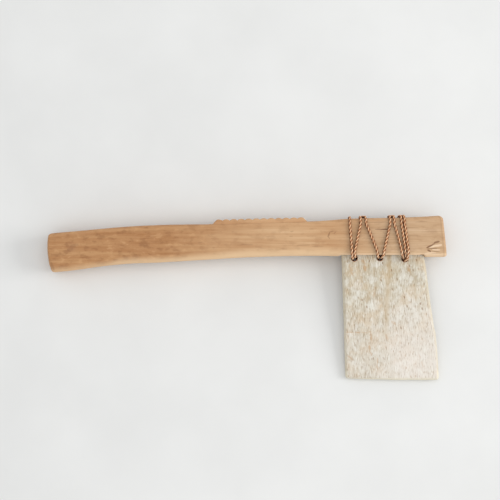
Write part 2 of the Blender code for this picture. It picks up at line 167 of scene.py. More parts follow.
def haft_section(x):
    """Y and Z of one half of the haft's section at X, from the middle of its belly to that of its back."""
    back = back_at(x)
    belly = belly_at(x)
    half = HAFT_THICKNESS / 2
    to_head = ease(*HEAD_EDGE_CHANGE, x)
    low_height = LOWER_EDGE_HEIGHT + (HEAD_EDGE_HEIGHT - LOWER_EDGE_HEIGHT) * to_head
    points = [(belly, (half - LOWER_EDGE_DEPTH) * step / BELLY_STEPS) for step in range(BELLY_STEPS)]
    for step in range(LOWER_EDGE_STEPS + 1):
        angle = math.radians(90 * step / LOWER_EDGE_STEPS)
        y = belly + low_height * (1 - math.cos(angle))
        points.append((y, half - LOWER_EDGE_DEPTH * (1 - math.sin(angle))))
    side_low = belly + low_height
    side_high = back - BACK_EDGE_RADIUS
    for step in range(1, SIDE_STEPS):
        points.append((side_low + (side_high - side_low) * step / SIDE_STEPS, half))
    ridge_half = RIDGE_WIDTH / 2
    ridge_angle = math.acos((ridge_half - half + BACK_EDGE_RADIUS) / BACK_EDGE_RADIUS)
    for step in range(BACK_EDGE_STEPS + 1):
        angle = ridge_angle * step / BACK_EDGE_STEPS
        y = side_high + BACK_EDGE_RADIUS * math.sin(angle)
        points.append((y, half - BACK_EDGE_RADIUS * (1 - math.cos(angle))))
    rise = ridge_rise(x)
    foot = points[-1][0]
    top = back + rise - RIDGE_ROUNDING
    for share in (0.25, 0.5, 0.75, 1.0):
        points.append((max(foot, foot + (top - foot) * share) if rise > 0 else foot, ridge_half))
    for step in range(1, 4):
        angle = math.radians(30 * step)
        z = ridge_half - RIDGE_ROUNDING * (1 - math.cos(angle))
        low = min(back, foot + (back - foot) * step / 3)
        points.append((max(low, top + RIDGE_ROUNDING * math.sin(angle)) if rise > 0 else low, z))
    for step in range(1, 6):
        z = (ridge_half - RIDGE_ROUNDING) * (1 - step / 5)
        points.append((back + max(rise, 0.0), z))
    return points


def corner_inset(y, back, belly, back_radius, belly_radius):
    """How far an end's face stands in at a height Y, where its upper and lower corners are rounded."""
    radius, into = max(((back_radius, y - back + back_radius), (belly_radius, belly + belly_radius - y)),
                       key=lambda corner: corner[1])
    into = min(max(into, 0.0), radius)
    return radius - math.sqrt(radius**2 - into**2)


def haft_end_shift(x, y):
    """How far a point moves along X, where an end is bowed or slanted and its corners are rounded."""
    near_butt = max(0.0, 1 - x / END_SHAPE_LENGTH)
    near_head = max(0.0, 1 - (HAFT_LENGTH - x) / END_SHAPE_LENGTH)
    if near_butt > 0:
        middle = (back_at(0.0) * 2 + belly_at(0.0)) / 3
        bow = BUTT_BOW * ((y - middle) / (middle - belly_at(0.0))) ** 2
        corner = corner_inset(y, back_at(x), belly_at(x), BUTT_CORNER_RADIUS, BUTT_LOWER_CORNER_RADIUS)
        return near_butt * bow + near_butt**4 * corner
    if near_head > 0:
        slant = HEAD_SLANT * (y - belly_at(HAFT_LENGTH)) / HAFT_DEPTH
        corner = corner_inset(y, back_at(x), belly_at(x), HEAD_CORNER_RADIUS, HEAD_LOWER_CORNER_RADIUS)
        return -near_head * slant - near_head**4 * corner
    return 0.0


def carved(x, y, z):
    """Unevenness that the knife left: long shallow flats and a few deeper strokes."""
    flats = FLAT_DEPTH * noise.noise(Vector((x * 24, y * 75, z * 75)))
    strokes = STROKE_DEPTH * noise.noise(Vector((x * 90 + 5, y * 260, z * 260)))
    return flats + strokes


def make_mesh_piece(name, vertices, faces, sharp_angle):
    """A piece from points and faces, shaded smooth but for its sharp edges."""
    mesh = bpy.data.meshes.new(name)
    mesh.from_pydata(vertices, [], faces)
    mesh.update()
    mesh.shade_smooth()
    mesh.set_sharp_from_angle(angle=math.radians(sharp_angle))
    piece = bpy.data.objects.new(name, mesh)
    bpy.context.scene.collection.objects.link(piece)
    return piece


def cut_away(piece, tool):
    """Cut a tool's shape out of a piece for good."""
    step = piece.modifiers.new("cut", "BOOLEAN")
    step.operation = "DIFFERENCE"
    step.solver = "EXACT"
    step.object = tool
    bpy.context.view_layer.update()
    graph = bpy.context.evaluated_depsgraph_get()
    cut = bpy.data.meshes.new_from_object(piece.evaluated_get(graph))
    piece.modifiers.clear()
    piece.data = cut
    bpy.data.objects.remove(tool, do_unlink=True)


# The haft's cross-sections, closest together along the ridge: each stretch's far end, and how many it has
STRETCHES = ((0.170, 120), (0.276, 168), (0.390, 104), (HAFT_LENGTH - END_ROUNDING, 44))
END_ANGLES = (22, 45, 68, 90)
END_INSETS = (0.002, 0.0045, 0.0075, 0.0100)
CARVING_FADE = 0.004
GROOVE_TOOL_REACH = 0.02
SHARP_ANGLE = 40


def make_haft():
    """The haft's mesh: sections along its length, drawn in at both ends, then the groove cut."""
    places = []
    low = END_ROUNDING
    for stretch in STRETCHES:
        places.append(np.linspace(low, *stretch, endpoint=stretch == STRETCHES[-1]))
        low = stretch[0]
    places = np.concatenate(places)
    insets = [(math.sin(math.radians(a)), 1 - math.cos(math.radians(a))) for a in END_ANGLES]
    insets = [(END_ROUNDING * (1 - out), END_ROUNDING * inward) for out, inward in insets]
    insets += [(0.0, END_ROUNDING + more) for more in END_INSETS]
    rings = [(out, places[0], inward) for out, inward in reversed(insets)]
    rings += [(x, x, 0.0) for x in places]
    rings += [(HAFT_LENGTH - out, places[-1], inward) for out, inward in insets]
    vertices = []
    for x, section_x, inward in rings:
        half_section = haft_section(section_x)
        section = half_section + [(y, -z) for y, z in half_section[-2:0:-1]]
        middle = (back_at(section_x) + belly_at(section_x)) / 2
        half_depth = (back_at(section_x) - belly_at(section_x)) / 2
        for y, z in section:
            y = middle + (y - middle) * (1 - inward / half_depth)
            z *= 1 - inward / (HAFT_THICKNESS / 2)
            uneven = carved(x, y, z) * ease(0.0, CARVING_FADE, HAFT_THICKNESS / 2 - inward)
            out = Vector((y - middle, z)).normalized() * uneven
            y = max(y + out.x, seat_height(x))
            vertices.append((x + haft_end_shift(x, y), y, z + out.y))
    count = len(section)
    faces = []
    for ring in range(len(rings) - 1):
        for side in range(count):
            after = (side + 1) % count
            low = ring * count
            faces.append((low + side, low + after, low + count + after, low + count + side))
    for start in (0, (len(rings) - 1) * count):
        middle = np.mean(np.array(vertices[start : start + count]), axis=0)
        vertices.append(tuple(middle))
        for side in range(count):
            rim = (start + side, start + (side + 1) % count)
            rim = rim[::-1] if start == 0 else rim
            faces.append((*rim, len(vertices) - 1))
    faces = [face[::-1] for face in faces]
    haft = make_mesh_piece("wooden_haft", vertices, faces, SHARP_ANGLE)
    width = BLADE_TOP_WIDTH + 2 * GAP
    low = -GROOVE_TOOL_REACH
    high = GROOVE_DEPTH + GAP
    outline = ((0, low), (1, low), (1, high), (0, high))
    groove = [(BLADE_X - GAP + share * width, SEAT_Y + up) for share, up in outline]
    half = BLADE_THICKNESS / 2 + GAP
    corners = [(x, y, half) for x, y in groove] + [(x, y, -half) for x, y in groove]
    sides = [(0, 1, 2, 3), (7, 6, 5, 4), (0, 4, 5, 1), (1, 5, 6, 2), (2, 6, 7, 3), (3, 7, 4, 0)]
    cut_away(haft, make_mesh_piece("groove", corners, sides, SHARP_ANGLE))
    haft.data.shade_smooth()
    haft.data.set_sharp_from_angle(angle=math.radians(SHARP_ANGLE))
    return haft


def fill(tree, node, inputs):
    """Connect a node's inputs to other nodes, or set them to plain values."""
    for name, value in dict(inputs).items():
        if isinstance(value, bpy.types.NodeSocket):
            tree.links.new(value, node.inputs[name])
        else:
            node.inputs[name].default_value = value
    return node


def add(tree, kind, inputs=(), **settings):
    """Put a node in a tree, with its settings and its inputs."""
    node = tree.nodes.new("ShaderNode" + kind)
    for name, value in settings.items():
        setattr(node, name, value)
    return fill(tree, node, inputs)


def reckon(tree, operation, first, second=0.0, third=0.0):
    """A sum, product or other reckoning of two or three values."""
    node = add(tree, "Math", {0: first, 1: second, 2: third}, operation=operation)
    return node.outputs[0]


def times(tree, first, second):
    """One value times another."""
    return reckon(tree, "MULTIPLY", first, second)


def scaled(tree, value, factor, offset):
    """A value times a factor, plus an offset."""
    return reckon(tree, "MULTIPLY_ADD", value, factor, offset)


def opposite(tree, mask):
    """1 where a mask is 0, and 0 where it is 1."""
    return reckon(tree, "SUBTRACT", 1.0, mask)


def vector(tree, operation, inputs):
    """A reckoning with places, such as their difference or distance: its node."""
    return add(tree, "VectorMath", inputs, operation=operation)


def speckle(tree, place, scale, detail, **more):
    """A soft random pattern over the surface, with about so many patches to the metre."""
    inputs = {"Vector": place, "Scale": scale, "Detail": detail, **more}
    return add(tree, "TexNoise", inputs).outputs[0]


def mask_of(tree, name):
    """A value that a piece's own points carry."""
    return add(tree, "Attribute", attribute_name=name).outputs["Fac"]


def blend(tree, share, under, over):
    """Two colours blended by a share."""
    node = add(tree, "Mix", {0: share, 6: under, 7: over}, data_type="RGBA")
    return node.outputs[2]


def tint(tree, colour, mask, over, strength):
    """A colour laid over another where a mask shows, with a strength from 0 to 1."""
    return blend(tree, times(tree, mask, strength), colour, over)


def fade(tree, value, low, high):
    """A value turned into a mask: 0 at low, 1 at high, smooth between."""
    inputs = {"Value": value, "From Min": low, "From Max": high}
    node = add(tree, "MapRange", inputs, interpolation_type="SMOOTHSTEP", clamp=False)
    return node.outputs["Result"]


def tone(red, green, blue):
    """A colour as it looks on a screen, 0 to 255, as the shader needs it."""
    linear = [((c / 255 + 0.055) / 1.055) ** 2.4 for c in (red, green, blue)]
    return (*linear, 1.0)


def shades(tree, value, places, colours):
    """A value turned into a colour: each place on its scale from 0 to 1 has a colour of its own."""
    node = add(tree, "ValToRGB", {"Fac": value})
    while len(node.color_ramp.elements) < len(places):
        node.color_ramp.elements.new(0.5)
    for element, place, colour in zip(node.color_ramp.elements, places, colours):
        element.position = place
        element.color = tone(*colour)
    return node.outputs["Color"]


def new_group(name, inputs, outputs):
    """An empty effect with named inputs (name, kind, value) and outputs (name, kind)."""
    group = bpy.data.node_groups.new(name, "ShaderNodeTree")
    for label, kind, value in inputs:
        socket = group.interface.new_socket(label, in_out="INPUT", socket_type="NodeSocket" + kind)
        socket.default_value = value
    for label, kind in outputs:
        group.interface.new_socket(label, in_out="OUTPUT", socket_type="NodeSocket" + kind)
    entry = group.nodes.new("NodeGroupInput")
    leave = group.nodes.new("NodeGroupOutput")
    return group, entry, leave


def make_grain_effect():
    """Long fibres: broad soft bands with finer lines over them, both drawn out along X of the place."""
    group, entry, leave = new_group(
        "grain",
        [("Place", "Vector", (0, 0, 0)), ("Band Width", "Float", 0.004), ("Line Width", "Float", 0.001),
         ("Length", "Float", 12.0)],
        [("Bands", "Float"), ("Lines", "Float")],
    )
    shorter = reckon(group, "DIVIDE", 1.0, entry.outputs["Length"])
    shares = add(group, "CombineXYZ", {0: shorter, 1: 1.0, 2: 1.0}).outputs[0]
    drawn = vector(group, "MULTIPLY", {0: entry.outputs["Place"], 1: shares}).outputs[0]
    for width, label, detail in (("Band Width", "Bands", 4.0), ("Line Width", "Lines", 2.5)):
        scale = reckon(group, "DIVIDE", 1.0, entry.outputs[width])
        pattern = speckle(group, drawn, scale, detail, Distortion=0.12)
        group.links.new(pattern, leave.inputs[label])
    return group


def make_stroke_effect():
    """One thin mark on the side that shows, from Start to End, that fades at both tips."""
    group, entry, leave = new_group(
        "stroke",
        [("Place", "Vector", (0, 0, 0)), ("Start", "Vector", (0, 0, 0)), ("End", "Vector", (0, 0, 0)),
         ("Width", "Float", 0.0005)],
        [("Mask", "Float")],
    )
    start = entry.outputs["Start"]
    flat = vector(group, "MULTIPLY", {0: entry.outputs["Place"], 1: (1, 1, 0)}).outputs[0]
    from_start = vector(group, "SUBTRACT", {0: flat, 1: start}).outputs[0]
    run = vector(group, "SUBTRACT", {0: entry.outputs["End"], 1: start}).outputs[0]
    along = vector(group, "DOT_PRODUCT", {0: from_start, 1: run}).outputs["Value"]
    whole = vector(group, "DOT_PRODUCT", {0: run, 1: run}).outputs["Value"]
    share = reckon(group, "DIVIDE", along, whole)
    share = reckon(group, "MAXIMUM", 0.0, reckon(group, "MINIMUM", 1.0, share))
    nearest = vector(group, "SCALE", {0: run, "Scale": share}).outputs[0]
    aside = vector(group, "DISTANCE", {0: from_start, 1: nearest}).outputs["Value"]
    taper = times(group, share, opposite(group, share))
    taper = reckon(group, "POWER", times(group, taper, 4.0), 0.4)
    reach = scaled(group, entry.outputs["Width"], taper, 0.00005)
    ratio = reckon(group, "DIVIDE", aside, reach)
    depth = add(group, "SeparateXYZ", {0: entry.outputs["Place"]}).outputs[2]
    shows = fade(group, depth, 0.002, 0.004)
    mask = times(group, opposite(group, fade(group, ratio, 0.35, 1.3)), shows)
    group.links.new(mask, leave.inputs["Mask"])
    return group


def use_group(tree, group, inputs):
    """Place an effect in a material with its own values."""
    return add(tree, "Group", inputs, node_tree=group)


# Every piece is made in the axe's own frame: X along the haft from its butt, Y from the blade's edge
# towards the haft's back, and Z towards the side that shows. The axe then lies on its far side, as it
# comes to rest, on its butt, its cord and its blade's edge.
UP_IN_AXE = Vector((0.010334, 0.111375, 0.993725))
BUTT_PLACE = Vector((-0.209977, 0.059886, 0.015583))

lying = UP_IN_AXE.rotation_difference(Vector((0.0, 0.0, 1.0))).to_matrix().to_4x4()
lying = Matrix.Translation(BUTT_PLACE) @ lying


def lay_down(piece):
    """Turn a finished piece from the axe's frame into its place on the table, and let nothing sink in."""
    piece.data.transform(lying)
    for vertex in piece.data.vertices:
        vertex.co.z = max(vertex.co.z, 0.0)
    piece.data.update()


def start_material(name, roughness):
    """A new material, its tree, its shader and the place of each point in the axe's frame."""
    material = bpy.data.materials.new(name)
    material.use_nodes = True
    tree = material.node_tree
    shader = tree.nodes["Principled BSDF"]
    shader.inputs["Roughness"].default_value = roughness
    standing = lying.inverted()
    inputs = {"Location": standing.to_translation(), "Rotation": standing.to_euler()}
    inputs["Vector"] = add(tree, "TexCoord").outputs["Object"]
    place = add(tree, "Mapping", inputs).outputs[0]
    return material, tree, shader, place


grain = make_grain_effect()
stroke = make_stroke_effect()

# Dark and pale marks on the wood, each (start, end, half width, strength), as X and Y in millimetres:
# the drying check, the torn grain at the head, the curved cut left of the cord, and stray darker lines
DARK_MARKS = (
    ((343.9, 11.1), (359.6, 11.3), 0.30, 0.85),
    ((349.5, 11.2), (360.4, 11.4), 0.62, 1.0),
    ((330.0, 18.4), (355.5, 19.0), 0.36, 0.35),
    ((362.0, 14.6), (377.0, 14.9), 0.34, 0.25),
    ((386.0, 18.9), (399.0, 19.3), 0.36, 0.35),
    ((338.0, 12.6), (350.0, 12.2), 0.20, 0.35),
    ((398.0, -8.2), (404.8, -5.0), 1.00, 0.85),
    ((403.0, -5.8), (407.8, -2.8), 0.80, 0.65),
    ((405.8, -3.0), (411.8, -1.4), 1.20, 0.75),
    ((398.6, -9.3), (409.5, -8.9), 0.42, 0.75),
    ((399.0, -10.4), (402.8, -12.2), 1.00, 0.85),
    ((402.6, -11.6), (412.0, -12.4), 0.38, 0.60),
    ((403.6, -14.0), (413.6, -13.8), 0.30, 0.35),
    ((294.4, 3.0), (296.6, 8.2), 0.90, 0.50),
    ((296.2, 8.0), (300.6, 9.6), 0.60, 0.36),
    ((294.7, 3.6), (296.6, 1.2), 0.60, 0.36),
    ((300.6, 6.2), (303.2, 8.8), 0.60, 0.32),
    ((255.0, 8.6), (258.6, 9.4), 0.60, 0.30),
    ((254.0, 3.6), (258.0, 4.2), 0.50, 0.25),
    ((158.0, -3.0), (163.0, -2.4), 0.55, 0.25),
    ((24.0, -6.8), (33.0, -4.8), 2.00, 0.26),
    ((21.0, -10.2), (27.6, -8.8), 2.20, 0.18),
    ((4.0, -23.0), (7.0, -32.0), 1.50, 0.30),
    ((391.6, -15.6), (396.4, -15.9), 0.80, 0.70),
    ((218.0, -7.2), (225.0, -7.6), 0.50, 0.25),
    ((246.0, -9.2), (252.0, -9.6), 0.45, 0.25),
    ((203.0, -4.6), (216.0, -5.0), 0.90, 0.20),
    ((262.0, -5.6), (276.0, -5.2), 1.00, 0.20),
    ((278.0, -6.8), (290.0, -6.6), 0.70, 0.22),
    ((96.0, -6.0), (108.0, -5.0), 1.60, 0.16),
    ((104.0, 2.0), (112.0, 4.0), 2.20, 0.12),
    ((372.0, 13.0), (390.0, 12.6), 0.60, 0.20),
    ((376.0, 4.6), (392.0, 4.2), 0.60, 0.20),
    ((366.0, -2.6), (376.0, -2.4), 0.50, 0.22),
    ((392.0, 8.6), (410.0, 8.8), 0.50, 0.20),
    ((312.0, 5.4), (334.0, 5.0), 0.50, 0.20),
    ((318.0, -4.6), (332.0, -4.4), 0.60, 0.20),
)
PALE_MARKS = (
    ((400.6, -7.7), (410.8, -5.4), 1.20, 0.90),
    ((404.0, -9.9), (412.6, -10.4), 0.90, 0.80),
    ((407.0, -6.6), (414.4, -5.0), 1.30, 0.80),
    ((400.4, -13.2), (408.0, -13.6), 0.90, 0.60),
    ((396.4, -14.6), (404.0, -13.2), 1.20, 0.60),
    ((404.0, -15.0), (412.0, -14.8), 0.90, 0.45),
)


def near(tree, value, middle, reach):
    """1 where a value is at the middle, 0 beyond its reach, and smooth between."""
    away = reckon(tree, "ABSOLUTE", reckon(tree, "SUBTRACT", value, middle))
    return opposite(tree, fade(tree, away, 0.0, reach))


def draw_strokes(tree, place, marks):
    """One mask of many strokes, each as strong as its own table says."""
    mask = 0.0
    for start, end, width, strength in marks:
        start = (start[0] / 1000, start[1] / 1000, 0.0)
        end = (end[0] / 1000, end[1] / 1000, 0.0)
        mark = use_group(tree, stroke, {"Place": place, "Start": start, "End": end, "Width": width / 1000})
        mask = reckon(tree, "MAXIMUM", mask, times(tree, mark.outputs["Mask"], strength))
    return mask


# Colours of the wood's broad bands, from the darkest band to the palest, and of the ends of its fibres
BAND_PLACES = (0.30, 0.46, 0.60, 0.74)
GRIP_WOOD = ((166, 115, 69), (179, 129, 84), (186, 138, 92), (196, 150, 104))
MIDDLE_WOOD = ((188, 143, 100), (198, 156, 114), (205, 165, 123), (214, 177, 136))
HEAD_WOOD = ((186, 149, 112), (196, 161, 124), (201, 167, 131), (211, 180, 146))
END_WOOD = ((164, 118, 78), (208, 164, 120))
GRIP_TO_MIDDLE = (0.17, 0.27)
MIDDLE_TO_HEAD = (0.33, 0.44)
SMUDGE_PLACE = (0.0262, -0.0082, 0.012)


def make_wood():
    """Pale brown wood: darker in the grip, greyer at the head, paler along its lower edge, from wear and a
    painted highlight.
    """
    material, tree, shader, place = start_material("carved_wood", 0.6)
    along, up, depth = add(tree, "SeparateXYZ", {0: place}).outputs
    edges = add(tree, "Attribute", attribute_name="edge_distance").outputs["Vector"]
    above_belly, under_back, from_end = add(tree, "SeparateXYZ", {0: edges}).outputs
    inputs = {"Place": place, "Band Width": 0.0042, "Line Width": 0.0010, "Length": 17.0}
    fibres = use_group(tree, grain, inputs)
    bands = fibres.outputs["Bands"]
    grip = shades(tree, bands, BAND_PLACES, GRIP_WOOD)
    middle = shades(tree, bands, BAND_PLACES, MIDDLE_WOOD)
    head = shades(tree, bands, BAND_PLACES, HEAD_WOOD)
    soft = speckle(tree, place, 24.0, 3.0)
    soft_along = scaled(tree, soft, 0.10, along)
    colour = blend(tree, fade(tree, soft_along, *GRIP_TO_MIDDLE), grip, middle)
    colour = blend(tree, fade(tree, soft_along, *MIDDLE_TO_HEAD), colour, head)

    # A brown stripe above the pale lower edge, and a dark and a pale line under the back
    stained = near(tree, above_belly, 0.0135, 0.0050)
    stained = times(tree, stained, fade(tree, along, 0.060, 0.110))
    stained = times(tree, stained, fade(tree, along, 0.325, 0.290))
    stained = times(tree, stained, fade(tree, bands, 0.68, 0.40))
    colour = tint(tree, colour, stained, tone(178, 128, 84), strength=0.48)
    edge_line = times(tree, near(tree, under_back, 0.0058, 0.0022), fade(tree, along, 0.26, 0.17))
    colour = tint(tree, colour, edge_line, tone(164, 116, 72), strength=0.35)
    top_strip = opposite(tree, fade(tree, under_back, 0.0022, 0.0048))
    colour = tint(tree, colour, top_strip, tone(206, 158, 114), strength=0.30)

    # Fine lines of the grain, clearer towards the head
    clear = fade(tree, along, 0.29, 0.36)
    lines = fade(tree, fibres.outputs["Lines"], 0.48, 0.72)
    lines = times(tree, lines, scaled(tree, clear, 0.11, 0.13))
    colour = blend(tree, lines, colour, tone(160, 112, 70))
    bright = fade(tree, fibres.outputs["Lines"], 0.47, 0.26)
    bright = times(tree, bright, scaled(tree, clear, 0.12, 0.06))
    colour = blend(tree, bright, colour, tone(232, 200, 160))

    # Blotches, dark and rubbed pale, most of them in the grip
    short = vector(tree, "MULTIPLY", {0: place, 1: (0.55, 1.0, 1.0)}).outputs[0]
    blotch = speckle(tree, short, 150.0, 4.0, Roughness=0.6)
    held = scaled(tree, fade(tree, along, 0.20, 0.10), 0.28, 0.18)
    colour = tint(tree, colour, fade(tree, blotch, 0.50, 0.64), tone(140, 92, 54), strength=held)
    rubbed = times(tree, fade(tree, blotch, 0.46, 0.32), fade(tree, along, 0.22, 0.14))
    colour = tint(tree, colour, rubbed, tone(216, 170, 122), strength=0.36)

    # The pale band along the lower edge, part wear and part painted highlight, weaker at both ends, round
    # the belly and in patches
    uneven = scaled(tree, bands, 0.004, above_belly)
    uneven = scaled(tree, soft, 0.010, uneven)
    uneven = scaled(tree, fade(tree, along, 0.11, 0.03), 0.0010, uneven)
    worn = opposite(tree, fade(tree, uneven, 0.0078, 0.0168))
    worn = times(tree, worn, scaled(tree, fade(tree, along, 0.01, 0.11), 0.25, 0.75))
    worn = times(tree, worn, scaled(tree, fade(tree, along, 0.290, 0.325), -0.45, 1.0))
    worn = times(tree, worn, scaled(tree, soft, 0.5, 0.62))
    worn = times(tree, worn, scaled(tree, fade(tree, depth, -0.002, 0.007), 0.60, 0.40))
    colour = tint(tree, colour, worn, tone(236, 203, 162), strength=0.85)

    # A painted highlight along the lip of the blade's seat, painted shade in a line round the head's end,
    # and a smudge near the butt
    # Painted highlight: a pale line just above the seat
    lip = opposite(tree, fade(tree, up, SEAT_Y + 0.0008, SEAT_Y + 0.0022))
    lip = times(tree, lip, fade(tree, along, BLADE_X - 0.010, BLADE_X + 0.004))
    colour = tint(tree, colour, lip, tone(240, 208, 172), strength=0.60)
    # Painted shade: a darker line just in from the head's rounded end
    head_end_shade = times(tree, near(tree, from_end, 0.0030, 0.0012), fade(tree, along, 0.39, 0.40))
    colour = tint(tree, colour, head_end_shade, tone(158, 116, 78), strength=0.30)
    to_smudge = vector(tree, "DISTANCE", {0: place, 1: SMUDGE_PLACE}).outputs["Value"]
    smudge_size = scaled(tree, blotch, -0.012, to_smudge)
    smudge = opposite(tree, fade(tree, smudge_size, -0.005, 0.002))
    colour = tint(tree, colour, smudge, tone(156, 108, 78), strength=0.30)

    # The drawn marks, and the open ends of the fibres at the butt and the head
    height = times(tree, fibres.outputs["Lines"], 0.5)
    pale = draw_strokes(tree, place, PALE_MARKS)
    dark = draw_strokes(tree, place, DARK_MARKS)
    colour = blend(tree, pale, colour, tone(234, 206, 174))
    colour = blend(tree, dark, colour, tone(122, 82, 52))
    height = reckon(tree, "SUBTRACT", height, dark)
    end_grain = mask_of(tree, "end_grain")
    end_colour = shades(tree, speckle(tree, place, 900.0, 2.0), (0.35, 0.65), END_WOOD)
    colour = tint(tree, colour, end_grain, end_colour, strength=0.60)

    relief = add(tree, "Bump", {"Height": height, "Strength": 0.5, "Distance": 0.0005})
    tree.links.new(colour, shader.inputs["Base Color"])
    gloss = add(tree, "MapRange", {"Value": bands, "To Min": 0.50, "To Max": 0.68}, clamp=False)
    tree.links.new(gloss.outputs["Result"], shader.inputs["Roughness"])
    tree.links.new(relief.outputs[0], shader.inputs["Normal"])
    shader.inputs["Specular IOR Level"].default_value = 0.35
    return material


haft = make_haft()
haft.data.materials.clear()
haft.data.materials.append(make_wood())
end_mask = haft.data.attributes.new("end_grain", "FLOAT", "POINT")
edge_distance = haft.data.attributes.new("edge_distance", "FLOAT_VECTOR", "POINT")
for index, vertex in enumerate(haft.data.vertices):
    x, y, z = vertex.co
    from_end = min(x - haft_end_shift(0.0, y), HAFT_LENGTH + haft_end_shift(HAFT_LENGTH, y) - x)
    end_mask.data[index].value = 1 - ease(0.0004, 0.0020, from_end)
    edge_distance.data[index].vector = (y - belly_at(x), back_at(x) - y, from_end)
lay_down(haft)
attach(haft, "root")
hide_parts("haft")


# The blade: one flat plate sawn from pale weathered whale bone, ground to an even thickness and bevelled
# by hand all round, thinner towards its edge. Its top stands in the haft's groove, and three holes are
# drilled through it just under the haft, for the cord.
BLADE_EDGE_WIDTH = 0.0985
BLADE_LENGTH = 0.1322
BLADE_LEAN = 0.0041
BLADE_HEEL_RISE = 0.0017
BLADE_EDGE_THICKNESS = 0.0064
BLADE_CORNER_RADIUS = 0.0026
BLADE_BEVEL = 0.0024
BLADE_SIDE_BOW = 0.0018
BLADE_SIDE_STEP = 0.0009
BLADE_SIDE_WANDER = 0.0003
BLADE_EDGE_BOW = 0.0008
BLADE_EDGE_WANDER = 0.00035
BEVEL_SLOPE = 0.72
BEVEL_UNEVENNESS = 0.25
FIBRE_RELIEF = 0.00009
RIB_RELIEF = 0.00008
WAVE_RELIEF = 0.00016
BONE_SHARP_ANGLE = 50
ROW_STEP = 0.00105
COLUMN_STEP = 0.0066
SIDE_COLUMNS = (0.0, 0.0026, 0.0062, 0.0114, 0.0177, 0.025, 0.034)
END_ROWS = (0.0, 0.00025, 0.0006, 0.0011, 0.0017, 0.0024, 0.0033)
CORD_DIAMETER = 0.0026
HOLE_PLAY = 0.0008
HOLE_DIAMETER = CORD_DIAMETER * (1 + 2 / math.sqrt(3)) + HOLE_PLAY
HOLE_PLACES = ((0.0131, 0.0034), (0.0400, 0.0031), (0.0664, 0.0042))


def spread(length, step, fine):
    """Places from 0 to a length, close together near both ends and evenly apart between."""
    middle = np.arange(fine[-1] + step, length - fine[-1] - step / 2, step)
    return np.concatenate((fine, middle, [length - place for place in reversed(fine)]))


def blade_side_x(down, side):
    """X of the blade's heel side (0) or toe side (1) at a distance down from the seat."""
    share = down / BLADE_LENGTH
    wander = BLADE_SIDE_WANDER * noise.noise(Vector((down * 45, side * 7.7, 2.0)))
    if side == 0:
        return BLADE_LEAN * share + wander * min(max(share, 0.0), 1.0)
    bow = BLADE_SIDE_BOW * 4 * share * (1 - share) if share > 0 else 0.0
    step_out = ease(0.57, 0.62, share) * ease(1.0, 0.75, share)
    hollow = 0.7 * ease(0.1, 0.3, share) * ease(0.6, 0.4, share)
    bow += BLADE_SIDE_STEP * (step_out - hollow)
    top = BLADE_TOP_WIDTH
    return top + (BLADE_LEAN + BLADE_EDGE_WIDTH - top) * share + bow + wander * min(max(share, 0.0), 1.0)


def make_blade():
    """The blade's mesh: a fine grid on each face, with bevels and the bone's low relief."""
    height = GROOVE_DEPTH + BLADE_LENGTH
    rows = spread(height, ROW_STEP, END_ROWS)
    columns = spread(1.0, COLUMN_STEP, SIDE_COLUMNS)
    vertices = []
    for face in (1, -1):
        for row in rows:
            for column in columns:
                down = row - GROOVE_DEPTH
                share = row / height
                left = blade_side_x(down, 0)
                right = blade_side_x(down, 1)
                x = left + (right - left) * column
                bow = BLADE_EDGE_BOW * 4 * column * (1 - column) - BLADE_HEEL_RISE * (1 - column)
                uneven = BLADE_EDGE_WANDER * noise.noise(Vector((x * 60, 4.0, 9.0)))
                down += (bow + uneven) * share**6
                from_side = min(x - left, right - x)
                from_end = min(row, height - row)
                if from_side < BLADE_CORNER_RADIUS and from_end < BLADE_CORNER_RADIUS:
                    into = Vector((BLADE_CORNER_RADIUS - from_side, BLADE_CORNER_RADIUS - from_end))
                    longest = max(into.x, into.y)
                    squeeze = longest / into.length if into.length > 0 else 1.0
                    shift = into * (1 - squeeze)
                    x += shift.x if x - left < right - x else -shift.x
                    down += shift.y if row < height / 2 else -shift.y
                    from_edge = BLADE_CORNER_RADIUS - longest
                else:
                    from_edge = min(from_side, from_end)
                half = (BLADE_THICKNESS + (BLADE_EDGE_THICKNESS - BLADE_THICKNESS) * share) / 2
                wander = noise.noise(Vector((x * 30, down * 30, face * 3.0)))
                bevel = BLADE_BEVEL * (1 + BEVEL_UNEVENNESS * wander)
                into_bevel = max(0.0, 1 - from_edge / bevel)
                z = half - BEVEL_SLOPE * bevel * into_bevel**1.5
                fibres = noise.noise(Vector((x * 620, down * 85, face * 5.0)))
                ribs = noise.noise(Vector((x * 210, down * 22, face * 9.0)))
                waves = noise.noise(Vector((x * 55, down * 28, face * 2.0)))
                z += FIBRE_RELIEF * fibres + RIB_RELIEF * ribs + WAVE_RELIEF * waves * (1 - into_bevel)
                vertices.append((BLADE_X + x, SEAT_Y - down, face * z))
    wide = len(columns)
    tall = len(rows)
    faces = []
    for face in (0, 1):
        start = face * wide * tall
        for row in range(tall - 1):
            for column in range(wide - 1):
                corner = start + row * wide + column
                quad = (corner, corner + wide, corner + wide + 1, corner + 1)
                faces.append(quad if face == 0 else quad[::-1])
    rim = list(range(wide))
    rim += [row * wide + wide - 1 for row in range(1, tall)]
    rim += [(tall - 1) * wide + column for column in range(wide - 2, -1, -1)]
    rim += [row * wide for row in range(tall - 2, 0, -1)]
    for index, corner in enumerate(rim):
        after = rim[(index + 1) % len(rim)]
        faces.append((corner, after, after + wide * tall, corner + wide * tall))
    return make_mesh_piece("bone_blade", vertices, faces, BONE_SHARP_ANGLE)


# How much wider a hole is, at places through the blade from one face (-1) to the other (1) and beyond
HOLE_LEVELS = ((-2.0, 1.30), (-1.0, 1.08), (-0.6, 1.0), (0.6, 1.0), (1.0, 1.08), (2.0, 1.30))
HOLE_SIDES = 28
HOLE_OUT_OF_ROUND = 0.03


